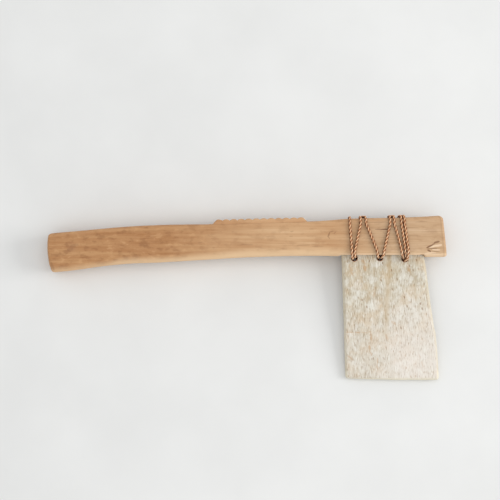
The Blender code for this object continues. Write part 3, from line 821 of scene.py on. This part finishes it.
def drill_holes(blade):
    """Drill the holes, each a little wider at both mouths, where the drill and the cord have worn it."""
    half = BLADE_THICKNESS / 2
    vertices = []
    faces = []
    for place in HOLE_PLACES:
        start = len(vertices)
        for level, widen in HOLE_LEVELS:
            for side in range(HOLE_SIDES):
                angle = 2 * math.pi * side / HOLE_SIDES
                radius = HOLE_DIAMETER / 2 * widen * (1 + HOLE_OUT_OF_ROUND * math.sin(2 * angle + 1))
                x = BLADE_X + place[0] + radius * math.cos(angle)
                vertices.append((x, SEAT_Y - place[1] + radius * math.sin(angle), level * half))
        faces.append(tuple(start + side for side in reversed(range(HOLE_SIDES))))
        last = start + (len(HOLE_LEVELS) - 1) * HOLE_SIDES
        faces.append(tuple(last + side for side in range(HOLE_SIDES)))
        for level in range(len(HOLE_LEVELS) - 1):
            for side in range(HOLE_SIDES):
                after = (side + 1) % HOLE_SIDES
                low = start + level * HOLE_SIDES
                high = low + HOLE_SIDES
                faces.append((low + side, low + after, high + after, high + side))
    cut_away(blade, make_mesh_piece("drills", vertices, faces, SHARP_ANGLE))


# Brown open pores on the face that shows, as X and Y in millimetres, and longer stains and a fine crack,
# each (start, end, half width, strength)
PORE_PLACES = (
    (350.9, -42.2), (362.1, -31.6), (362.6, -51.6), (367.9, -41.1), (375.3, -60.1), (378.5, -69.6),
    (384.8, -31.6), (392.7, -66.9), (394.3, -72.2), (343.1, -124.9), (352.6, -24.0), (338.6, -22.0),
    (381.0, -27.0), (388.6, -21.0), (331.0, -63.0), (336.0, -70.5), (411.0, -139.6), (372.0, -92.5),
)
PORES = [((x, y + 1.2), (x + 0.4, y - 1.6), 0.60, 0.70) for x, y in PORE_PLACES]
STAINS = (
    ((312.8, -97.2), (336.6, -97.8), 0.50, 0.90),
    ((339.4, -96.0), (341.2, -106.0), 1.50, 0.85),
    ((338.6, -111.0), (341.6, -122.0), 1.50, 0.90),
    ((347.9, -124.0), (346.6, -141.0), 0.80, 0.80),
    ((316.0, -122.0), (322.0, -127.0), 1.10, 0.70),
    ((331.4, -20.0), (335.0, -33.0), 2.40, 0.75),
    ((318.0, -25.0), (322.0, -38.0), 1.80, 0.60),
    ((379.4, -24.0), (381.4, -36.0), 1.60, 0.75),
    ((362.0, -86.0), (368.0, -89.0), 1.60, 0.60),
    ((345.0, -45.0), (343.6, -62.0), 1.20, 0.50),
    ((356.0, -99.0), (359.0, -108.0), 1.40, 0.55),
    ((391.0, -120.0), (396.0, -134.0), 0.90, 0.45),
)


# Colours of the bone's broad bands, from the darkest band to the palest
BONE_PLACES = (0.32, 0.48, 0.62, 0.75)
BONE_BANDS = ((187, 173, 148), (199, 188, 166), (210, 203, 185), (222, 217, 203))
CHALK_PLACE = (0.3407, -0.0707, 0.004)
TAN_BAND_X = 0.3632
TAN_BAND_REACH = 0.0052
TAN_BAND_SLOPE = -0.045


def make_bone():
    """Cream-grey bone: fine lengthwise fibres, open brown pores, a tan band and yellower bevels."""
    material, tree, shader, place = start_material("weathered_bone", 0.72)
    across, up, depth = add(tree, "SeparateXYZ", {0: place}).outputs
    turned = add(tree, "CombineXYZ", {0: up, 1: across, 2: depth}).outputs[0]
    inputs = {"Place": turned, "Band Width": 0.0042, "Line Width": 0.00088, "Length": 5.6}
    fibres = use_group(tree, grain, inputs)
    lower = fade(tree, up, -0.030, -0.125)
    colour = shades(tree, fibres.outputs["Bands"], BONE_PLACES, BONE_BANDS)

    # Tan washes and pale patches, then the paler lower part, smoothest at the right
    wash = speckle(tree, place, 42.0, 3.0)
    colour = tint(tree, colour, fade(tree, wash, 0.48, 0.64), tone(208, 178, 138), strength=0.42)
    pale = speckle(tree, place, 90.0, 4.0, Roughness=0.6)
    colour = tint(tree, colour, fade(tree, pale, 0.50, 0.63), tone(231, 229, 221), strength=0.42)
    colour = tint(tree, colour, fade(tree, pale, 0.47, 0.36), tone(199, 173, 135), strength=0.38)
    colour = tint(tree, colour, lower, tone(228, 220, 210), strength=0.42)
    smooth = times(tree, lower, fade(tree, scaled(tree, wash, 0.03, across), 0.358, 0.392))
    colour = tint(tree, colour, smooth, tone(238, 230, 222), strength=0.50)

    # Chalky flecks, and one larger chalky spot
    mottle = vector(tree, "MULTIPLY", {0: turned, 1: (0.6, 1.0, 1.0)}).outputs[0]
    patches = speckle(tree, mottle, 240.0, 3.0, Roughness=0.6)
    chalky = fade(tree, patches, 0.50, 0.66)
    colour = tint(tree, colour, chalky, tone(236, 234, 224), strength=0.34)
    to_chalk = vector(tree, "DISTANCE", {0: place, 1: CHALK_PLACE}).outputs["Value"]
    chalk = opposite(tree, fade(tree, to_chalk, 0.002, 0.0085))
    colour = tint(tree, colour, chalk, tone(230, 229, 219), strength=0.42)

    # Dark and light fibres, and a tan band that runs down the blade's middle
    strength = scaled(tree, smooth, -0.26, 0.76)
    dark = fade(tree, fibres.outputs["Lines"], 0.52, 0.72)
    colour = tint(tree, colour, dark, tone(160, 138, 109), strength)
    light = fade(tree, fibres.outputs["Lines"], 0.45, 0.27)
    colour = tint(tree, colour, light, tone(238, 234, 224), strength=0.62)
    slanted = scaled(tree, up, TAN_BAND_SLOPE, across)
    slanted = scaled(tree, wash, 0.006, slanted)
    band = near(tree, slanted, TAN_BAND_X, TAN_BAND_REACH)
    band = times(tree, band, fade(tree, up, -0.125, -0.07))
    colour = tint(tree, colour, band, tone(194, 170, 134), strength=0.50)

    # Small open pores: the middles of some of many small cells
    small = vector(tree, "MULTIPLY", {0: turned, 1: (230.0, 560.0, 560.0)}).outputs[0]
    cells = add(tree, "TexVoronoi", {"Vector": small, "Scale": 1.0, "Randomness": 1.0})
    chosen = add(tree, "SeparateColor", {0: cells.outputs["Color"]}).outputs[0]
    dots = opposite(tree, fade(tree, cells.outputs["Distance"], 0.12, 0.45))
    dots = times(tree, dots, fade(tree, chosen, 0.70, 0.90))
    dots = times(tree, dots, fade(tree, wash, 0.34, 0.54))
    colour = tint(tree, colour, dots, tone(172, 134, 92), strength=0.42)
    height = scaled(tree, fibres.outputs["Lines"], -1.2, times(tree, dots, -0.8))
    height = scaled(tree, patches, 0.8, height)

    # The drawn pores and stains, the yellower bevels, the pale edge, and the brown walls and mouths of the
    # holes, part stain and part painted shade
    pores = draw_strokes(tree, place, PORES)
    colour = blend(tree, pores, colour, tone(138, 98, 60))
    height = reckon(tree, "SUBTRACT", height, pores)
    stains = times(tree, draw_strokes(tree, place, STAINS), fade(tree, patches, 0.62, 0.44))
    colour = tint(tree, colour, stains, tone(190, 148, 104), strength=0.70)
    rim = mask_of(tree, "rim")
    edge = times(tree, rim, fade(tree, up, -0.1370, -0.1400))
    colour = tint(tree, colour, rim, tone(206, 197, 174), strength=0.55)
    colour = tint(tree, colour, edge, tone(240, 232, 210), strength=0.45)
    colour = blend(tree, mask_of(tree, "bore"), colour, tone(158, 96, 56))

    relief = add(tree, "Bump", {"Height": height, "Strength": 0.55, "Distance": 0.0004})
    tree.links.new(colour, shader.inputs["Base Color"])
    tree.links.new(relief.outputs[0], shader.inputs["Normal"])
    shader.inputs["Specular IOR Level"].default_value = 0.3
    return material


blade = make_blade()
drill_holes(blade)
blade.data.shade_smooth()
blade.data.set_sharp_from_angle(angle=math.radians(BONE_SHARP_ANGLE))
blade.data.materials.clear()
blade.data.materials.append(make_bone())
rim_mask = blade.data.attributes.new("rim", "FLOAT", "POINT")
bore_mask = blade.data.attributes.new("bore", "FLOAT", "POINT")
for index, vertex in enumerate(blade.data.vertices):
    x, y, z = vertex.co
    down = SEAT_Y - y
    from_side = min(x - BLADE_X - blade_side_x(down, 0), BLADE_X + blade_side_x(down, 1) - x)
    rim_mask.data[index].value = 1 - ease(0.0012, 0.0026, min(from_side, BLADE_LENGTH - down))
    # Brown on the holes' walls and mouths: part stain, part painted shade
    nearest = min(math.hypot(x - BLADE_X - place[0], down - place[1]) for place in HOLE_PLACES)
    bore_mask.data[index].value = 1 - ease(1.06, 1.22, nearest / (HOLE_DIAMETER / 2))
lay_down(blade)
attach(blade, "root")
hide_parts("blade")


# The lashing: one reddish-brown cord of three plies, twisted together. It is tied behind the first hole and
# goes up through a hole, over the haft and down behind it to the next, three times through the last hole
# and back again, drawn tight, and its two ends are tied together in a square knot.
CORD_LOOSENESS = 0.00012
CORD_STANDOFF = CORD_DIAMETER / 2 + CORD_LOOSENESS
EDGE_RADIUS = 0.006
KNOT_OFFSET = (0.0014, 0.0086)
PLIES = 3
PLY_RADIUS = 0.00076
PLY_OFFSET = 0.00070
PLY_UNEVENNESS = 0.10
PLY_SIDES = 9
LAY = 0.0130
TIP_LENGTH = 0.0022
TIP_SHARE = 0.45
CORD_STEP = 0.00042
CORD_SHARP_ANGLE = 80

# Each turn of the lacing: its hole, the side of the hole that the cord lies on (degrees), X of three places
# up the near side and of three down the far side, from the middle of the hole, and how far the cord is
# lifted over another strand, in cord diameters: low on the near side, then high and low on the far side
TURNS = (
    (0, 180, (-0.0032, -0.0042, -0.0054), (-0.0042, -0.0034, -0.0018), (0.75, 0.0, 0.0)),
    (0, 64, (-0.0002, 0.0028, 0.0058), (0.0072, 0.0160, 0.0256), (0.0, 0.0, 0.0)),
    (1, 20, (0.0036, 0.0068, 0.0099), (0.0106, 0.0175, 0.0230), (0.0, 0.0, 1.2)),
    (2, 270, (0.0026, 0.0010, -0.0014), (-0.0020, -0.0002, 0.0024), (1.2, 0.0, 0.0)),
    (2, 30, (-0.0004, -0.0024, -0.0047), (-0.0052, -0.0030, -0.0004), (0.0, 0.0, 0.0)),
    (2, 150, (-0.0042, -0.0078, -0.0121), (-0.0132, -0.0190, -0.0250), (0.0, 1.1, 1.2)),
    (1, 160, (-0.0036, -0.0090, -0.0152), (-0.0174, -0.0204, -0.0236), (0.0, 1.1, 0.0)),
)


def cord_in_hole(turn):
    """X and Y of the cord where it passes through a turn's hole."""
    across, below = HOLE_PLACES[turn[0]]
    reach = HOLE_DIAMETER / 2 - CORD_DIAMETER / 2 - GAP
    angle = math.radians(turn[1])
    return BLADE_X + across + reach * math.cos(angle), SEAT_Y - below + reach * math.sin(angle)


def climb(start, flank, crown, side, low_lift, high_lift=0.0):
    """The cord's points from a hole's mouth up one side of the haft to the middle of its back."""
    flat = HAFT_THICKNESS / 2 - EDGE_RADIUS
    bottom = belly_at(start[0]) + EDGE_RADIUS
    top = back_at(flank[2]) - EDGE_RADIUS
    lip_angle = math.acos((bottom - SEAT_Y) / EDGE_RADIUS)
    lip = flat + EDGE_RADIUS * math.sin(lip_angle)
    lip_angle = math.degrees(lip_angle)
    middle = (bottom + top) / 2

    # Place on the climb, Y and Z of the bend's middle, its radius and angle, shares of the low and high lift
    bends = (
        (0.30, SEAT_Y, lip, 0.0, 0.0, 1.0, 0.0),
        (0.50, SEAT_Y, lip, 0.0, lip_angle / 2, 1.0, 0.0),
        (0.70, SEAT_Y, lip, 0.0, lip_angle, 1.0, 0.0),
        (0.85, bottom, flat, EDGE_RADIUS, (lip_angle + 90) / 2, 0.8, 0.0),
        (1.00, bottom, flat, EDGE_RADIUS, 90.0, 0.5, 0.0),
        (1.50, (bottom + middle) / 2, flat, EDGE_RADIUS, 90.0, 0.0, 0.2),
        (2.50, (top + middle) / 2, flat, EDGE_RADIUS, 90.0, 0.0, 0.9),
        (3.00, top, flat, EDGE_RADIUS, 90.0, 0.0, 1.0),
        (3.12, top, flat, EDGE_RADIUS, 112.5, 0.0, 0.85),
        (3.25, top, flat, EDGE_RADIUS, 135.0, 0.0, 0.6),
        (3.37, top, flat, EDGE_RADIUS, 157.5, 0.0, 0.35),
        (3.50, top, flat, EDGE_RADIUS, 180.0, 0.0, 0.15),
        (3.75, top, flat / 2, EDGE_RADIUS, 180.0, 0.0, 0.0),
    )
    along = (start[0], flank[0], flank[1], flank[2], crown)
    points = [Vector((start[0], start[1], side * BLADE_THICKNESS / 2))]
    for place, y, z, bend, angle, low_share, high_share in bends:
        reach = bend + CORD_STANDOFF + low_share * low_lift + high_share * high_lift
        y -= reach * math.cos(math.radians(angle))
        z += reach * math.sin(math.radians(angle))
        points.append(Vector((np.interp(place, (0.0, 1.0, 2.0, 3.0, 4.0), along), y, side * z)))
    return points


def lacing_route():
    """The cord's centre line through the holes and over the haft, from the knot back to the knot."""
    route = []
    for index, turn in enumerate(TURNS):
        start = cord_in_hole(turn)
        origin = BLADE_X + HOLE_PLACES[turn[0]][0]
        near = [origin + x for x in turn[2]]
        far = [origin + x for x in turn[3]]
        crown = (near[2] + far[0]) / 2
        low_lift, high_lift, end_lift = [lift * CORD_DIAMETER for lift in turn[4]]
        route.append(Vector((start[0], start[1], -BLADE_THICKNESS / 2)))
        route.append(Vector((start[0], start[1], 0.0)))
        route += climb(start, near, crown, 1, low_lift)
        route.append(Vector((crown, back_at(crown) + CORD_STANDOFF, 0.0)))
        last_turn = index + 1 == len(TURNS)
        goal = (far[2], cord_in_hole(TURNS[0])[1]) if last_turn else cord_in_hole(TURNS[index + 1])
        down = climb(goal, far[::-1], crown, -1, end_lift, high_lift)
        route += down[:0:-1]
    return route


# Each end's way through the knot, from the lacing to the tip, as X, Y and height over the blade's far face
# from the knot's middle, in cord diameters: the two ends loop through each other and leave as short tails
FIRST_END = (
    (-0.75, 1.75, 0.75), (-0.95, 1.15, 1.00), (-1.05, 0.35, 1.75), (-0.45, -0.45, 2.10), (0.55, -0.75, 1.60),
    (0.95, -0.30, 0.95), (0.35, 0.35, 0.60), (-0.75, 0.25, 0.62), (-1.55, -0.45, 0.95), (-1.60, -1.25, 1.15),
    (-1.40, -2.30, 0.80), (-1.30, -3.60, 0.62), (-1.50, -5.00, 0.62),
)
LAST_END = (
    (0.95, 1.95, 1.05), (1.15, 1.05, 1.65), (0.55, 0.85, 2.20), (-0.35, 0.75, 1.80), (-0.80, 0.35, 0.95),
    (-0.35, -0.55, 0.62), (0.65, -0.75, 0.70), (1.35, -0.30, 1.35), (1.25, 0.30, 1.95), (1.75, -0.55, 1.60),
    (1.75, -1.60, 0.95), (2.40, -3.20, 0.62), (3.25, -4.90, 0.62),
)


def knot_point(place):
    """A point of the knot, from its place in cord diameters."""
    across, below = HOLE_PLACES[0]
    x = BLADE_X + across + KNOT_OFFSET[0] + place[0] * CORD_DIAMETER
    y = SEAT_Y - below - KNOT_OFFSET[1] + place[1] * CORD_DIAMETER
    return Vector((x, y, -BLADE_THICKNESS / 2 - place[2] * CORD_DIAMETER))


def smooth_line(points, step):
    """A smooth curve through points, read off at even steps."""
    dense = []
    for index in range(len(points) - 1):
        a = points[max(index - 1, 0)]
        b = points[index]
        c = points[index + 1]
        d = points[min(index + 2, len(points) - 1)]
        before = (c - a) * 0.5 * min(1.0, (c - b).length / max((b - a).length, 1e-6))
        after = (d - b) * 0.5 * min(1.0, (c - b).length / max((d - c).length, 1e-6))
        pieces = max(2, int((c - b).length / step * 3))
        for piece in range(pieces):
            t = piece / pieces
            dense.append(
                b * (2 * t**3 - 3 * t**2 + 1) + before * (t**3 - 2 * t**2 + t)
                + c * (3 * t**2 - 2 * t**3) + after * (t**3 - t**2)
            )
    dense.append(points[-1])
    dense = np.array([tuple(point) for point in dense])
    travelled = np.concatenate(([0.0], np.cumsum(np.linalg.norm(np.diff(dense, axis=0), axis=1))))
    even = np.linspace(0.0, travelled[-1], int(travelled[-1] / step) + 1)
    return np.stack([np.interp(even, travelled, dense[:, axis]) for axis in range(3)], axis=1), even


def away_from_haft(point):
    """The direction in which the cord faces away from the wood that it lies on."""
    x, y, z = point
    flat = HAFT_THICKNESS / 2 - EDGE_RADIUS
    core_y = min(max(y, belly_at(x) + EDGE_RADIUS), back_at(x) - EDGE_RADIUS)
    core_z = min(max(z, -flat), flat)
    return Vector((0.0, y - core_y, z - core_z)).normalized()


def sweep_ply(line, travelled, phase):
    """One ply of the cord: a round strand that winds about the centre line, thinner at both tips."""
    across = Vector((1.0, 0.0, 0.0))
    length = travelled[-1]
    vertices = []
    faces = []
    around = []
    centres = []
    away = [away_from_haft(point) for point in line]
    for index, point in enumerate(line):
        ahead = Vector(line[min(index + 1, len(line) - 1)] - line[max(index - 1, 0)]).normalized()
        across = (across - ahead * across.dot(ahead)).normalized()
        other = ahead.cross(across)
        turn = 2 * math.pi * travelled[index] / LAY + phase
        outward = across * math.cos(turn) + other * math.sin(turn)
        wander = 1 + PLY_UNEVENNESS * noise.noise(Vector((travelled[index] * 420, phase, 0.0)))
        centres.append(Vector(point) + outward * PLY_OFFSET * wander)
    for index, centre in enumerate(centres):
        ahead = (centres[min(index + 1, len(centres) - 1)] - centres[max(index - 1, 0)]).normalized()
        outward = (centre - Vector(line[index])).normalized()
        outward = (outward - ahead * outward.dot(ahead)).normalized()
        other = ahead.cross(outward)
        to_tip = min(travelled[index], length - travelled[index])
        swell = 1 + PLY_UNEVENNESS * noise.noise(Vector((travelled[index] * 300, phase + 4.0, 1.0)))
        full = ease(0.0, TIP_LENGTH, to_tip)
        radius = PLY_RADIUS * swell * (TIP_SHARE + (1 - TIP_SHARE) * full)
        for side in range(PLY_SIDES):
            angle = 2 * math.pi * side / PLY_SIDES
            vertex = centre + (outward * math.cos(angle) + other * math.sin(angle)) * radius
            # How far a point faces away from the wood: the cord's sides and underside get painted shade from
            # it
            exposed = (vertex - Vector(line[index])).normalized().dot(away[index])
            vertices.append(vertex)
            around.append((travelled[index], angle, exposed))
    for ring in range(len(centres) - 1):
        low = ring * PLY_SIDES
        high = low + PLY_SIDES
        for side in range(PLY_SIDES):
            after = (side + 1) % PLY_SIDES
            faces.append((low + side, low + after, high + after, high + side))
    faces.append(tuple(reversed(range(PLY_SIDES))))
    faces.append(tuple(range((len(centres) - 1) * PLY_SIDES, len(centres) * PLY_SIDES)))
    return vertices, faces, around


# Loose hairs at the cord's two cut tips: how many, and how thick, long and curled they are
HAIRS = 9
HAIR_RADIUS = 0.00009
HAIR_STEPS = 4
HAIR_STEP = 0.0011
HAIR_CURL = 0.0006
HAIR_INSET = 0.0006
HAIR_SPREAD = 0.0008
TIP_POINTS = 8


def fray_tip(tip, before, fuzz, vertices, faces, around):
    """Add the hairs that spread from a tip, each one tapering away."""
    outward = Vector(tip - before).normalized()
    width = Vector((HAIR_RADIUS, 0.0, 0.0))
    thick = Vector((0.0, 0.0, HAIR_RADIUS))
    for _ in range(HAIRS):
        lean = Vector([fuzz.uniform(-0.5, 0.5) for axis in range(3)])
        lean.z = abs(lean.z) * -0.3
        start = Vector(tip) - outward * HAIR_INSET + lean * HAIR_SPREAD
        base = len(vertices)
        for step in range(HAIR_STEPS):
            spine = start + outward * HAIR_STEP * step + lean * HAIR_CURL * step**1.4
            size = 1 - step / HAIR_STEPS
            vertices += [spine + aside * size for aside in (width, thick, -width, -thick)]
            around += [(0.0, 0.0, 0.5)] * 4
        for step in range(HAIR_STEPS - 1):
            for side in range(4):
                low = base + step * 4
                after = (side + 1) % 4
                faces.append((low + side, low + after, low + 4 + after, low + 4 + side))


def make_lashing():
    """The cord's mesh, and for each point how far along it is, at what angle, and how far it faces away from
    the wood, for its painted shade.
    """
    first_end = [knot_point(place) for place in FIRST_END]
    last_end = [knot_point(place) for place in LAST_END]
    line, travelled = smooth_line(first_end[::-1] + lacing_route() + last_end, CORD_STEP)
    vertices = []
    faces = []
    around = []
    for ply in range(PLIES):
        ply_vertices, ply_faces, ply_around = sweep_ply(line, travelled, 2 * math.pi * ply / PLIES)
        faces += [tuple(index + len(vertices) for index in face) for face in ply_faces]
        vertices += ply_vertices
        around += ply_around
    fuzz = random.Random(11)
    for tip, before in ((line[0], line[TIP_POINTS]), (line[-1], line[-1 - TIP_POINTS])):
        fray_tip(tip, before, fuzz, vertices, faces, around)
    return make_mesh_piece("twisted_cord", vertices, faces, CORD_SHARP_ANGLE), around


# Painted light and shade of the cord, from the painted shade between its plies to the painted highlight on
# their crowns
CORD_SHADING_PLACES = (0.10, 0.35, 0.62, 0.88, 1.00)
CORD_SHADING_COLOURS = ((100, 57, 34), (152, 96, 60), (206, 146, 102), (240, 192, 148), (252, 216, 178))


def make_cord():
    """Reddish-brown fibre with fine slanted threads, and painted light: highlights on the plies' crowns,
    shade where they meet and where they face the wood.
    """
    material, tree, shader, place = start_material("brown_twine", 0.7)
    crown = mask_of(tree, "crown")
    along = mask_of(tree, "along")
    speck = speckle(tree, place, 1500.0, 3.0)
    patch = speckle(tree, place, 130.0, 2.0)
    exposed = mask_of(tree, "exposed")
    # Painted highlight on the plies' crowns, and painted shade between them and on the sides that face the
    # wood
    lit = scaled(tree, fade(tree, crown, 0.62, 0.97), 0.62, 0.38)
    lit = times(tree, lit, fade(tree, exposed, 0.30, 0.92))
    # Painted highlight: the lit crowns made paler where the cord comes near the holes
    height = add(tree, "SeparateXYZ", {0: place}).outputs[1]
    highlight_near_holes = times(tree, fade(tree, height, -0.0085, -0.0150), lit)
    shade = scaled(tree, lit, 0.85, -0.08)
    shade = scaled(tree, speck, 0.30, shade)
    shade = scaled(tree, highlight_near_holes, 0.30, shade)
    colour = shades(tree, shade, CORD_SHADING_PLACES, CORD_SHADING_COLOURS)
    colour = tint(tree, colour, fade(tree, patch, 0.45, 0.65), tone(142, 84, 50), strength=0.25)
    winding = add(tree, "CombineXYZ", {0: along, 1: crown}).outputs[0]
    inputs = {"Vector": winding, "Scale": 420.0, "Distortion": 2.0, "Detail": 2.0}
    threads = add(tree, "TexWave", inputs).outputs[1]
    relief = add(tree, "Bump", {"Height": threads, "Strength": 0.45, "Distance": 0.0001})
    tree.links.new(colour, shader.inputs["Base Color"])
    tree.links.new(relief.outputs[0], shader.inputs["Normal"])
    shader.inputs["Specular IOR Level"].default_value = 0.25
    return material


lashing, around = make_lashing()
lashing.data.materials.append(make_cord())
crown_mask = lashing.data.attributes.new("crown", "FLOAT", "POINT")
along_mask = lashing.data.attributes.new("along", "FLOAT", "POINT")
exposed_mask = lashing.data.attributes.new("exposed", "FLOAT", "POINT")
for index, (travelled, angle, exposed) in enumerate(around):
    crown_mask.data[index].value = 0.5 + 0.5 * math.cos(angle)
    along_mask.data[index].value = travelled + angle * 0.0004
    exposed_mask.data[index].value = exposed
lay_down(lashing)
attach(lashing, "root")
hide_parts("lashing")


# The table: a plain pale sheet under soft light from the right and from above. The camera hangs over it
# and looks square at the side of the axe that shows.
TABLE_SIZE = 6.0
TABLE_MIDDLE = Vector((0.0, 0.0, 0.0))
TABLE_COLOURS = ((226, 226, 224), (231, 231, 229))
CAMERA_DISTANCE = 1.45
PICTURE_WIDTH = 0.5246
PICTURE_MIDDLE = Vector((0.2129, -0.0105, HAFT_THICKNESS / 2))
LAMPS = (
    ("window", (2.4, 0.0, 1.25), 1.3, 33.2),
    ("ceiling", (0.0, 0.0, 2.6), 2.6, 7.4),
)
ROOM_COLOUR = (0.93, 0.94, 0.95, 1.0)
ROOM_STRENGTH = 0.83

half = TABLE_SIZE / 2
table_corners = [(-half, -half, 0), (half, -half, 0), (half, half, 0), (-half, half, 0)]
table_mesh = bpy.data.meshes.new("table")
table_mesh.from_pydata(table_corners, [], [(0, 1, 2, 3)])
table = bpy.data.objects.new("table", table_mesh)
bpy.context.scene.collection.objects.link(table)
table_material, table_tree, table_shader, table_place = start_material("pale_table", 0.9)
mottle = speckle(table_tree, table_place, 9.0, 4.0)
table_colour = shades(table_tree, mottle, (0.35, 0.65), TABLE_COLOURS)
table_tree.links.new(table_colour, table_shader.inputs["Base Color"])
table_mesh.materials.append(table_material)

camera_data = bpy.data.cameras.new("camera")
camera_data.sensor_width = 36.0
camera_data.lens = camera_data.sensor_width * CAMERA_DISTANCE / PICTURE_WIDTH
camera = bpy.data.objects.new("camera", camera_data)
camera.matrix_world = lying @ Matrix.Translation(PICTURE_MIDDLE + Vector((0.0, 0.0, CAMERA_DISTANCE)))
bpy.context.scene.collection.objects.link(camera)
bpy.context.scene.camera = camera

# Two square soft lamps that point at the table's middle, each with its size and its power
for name, place, size, power in LAMPS:
    light = bpy.data.lights.new(name, "AREA")
    light.shape = "SQUARE"
    light.size = size
    light.energy = power
    lamp = bpy.data.objects.new(name, light)
    lamp.location = place
    lamp.rotation_mode = "QUATERNION"
    lamp.rotation_quaternion = (TABLE_MIDDLE - Vector(place)).to_track_quat("-Z", "Y")
    bpy.context.scene.collection.objects.link(lamp)

world = bpy.data.worlds.new("room")
world.use_nodes = True
world.node_tree.nodes["Background"].inputs["Color"].default_value = ROOM_COLOUR
world.node_tree.nodes["Background"].inputs["Strength"].default_value = ROOM_STRENGTH
bpy.context.scene.world = world
bpy.context.scene.view_settings.view_transform = "Standard"
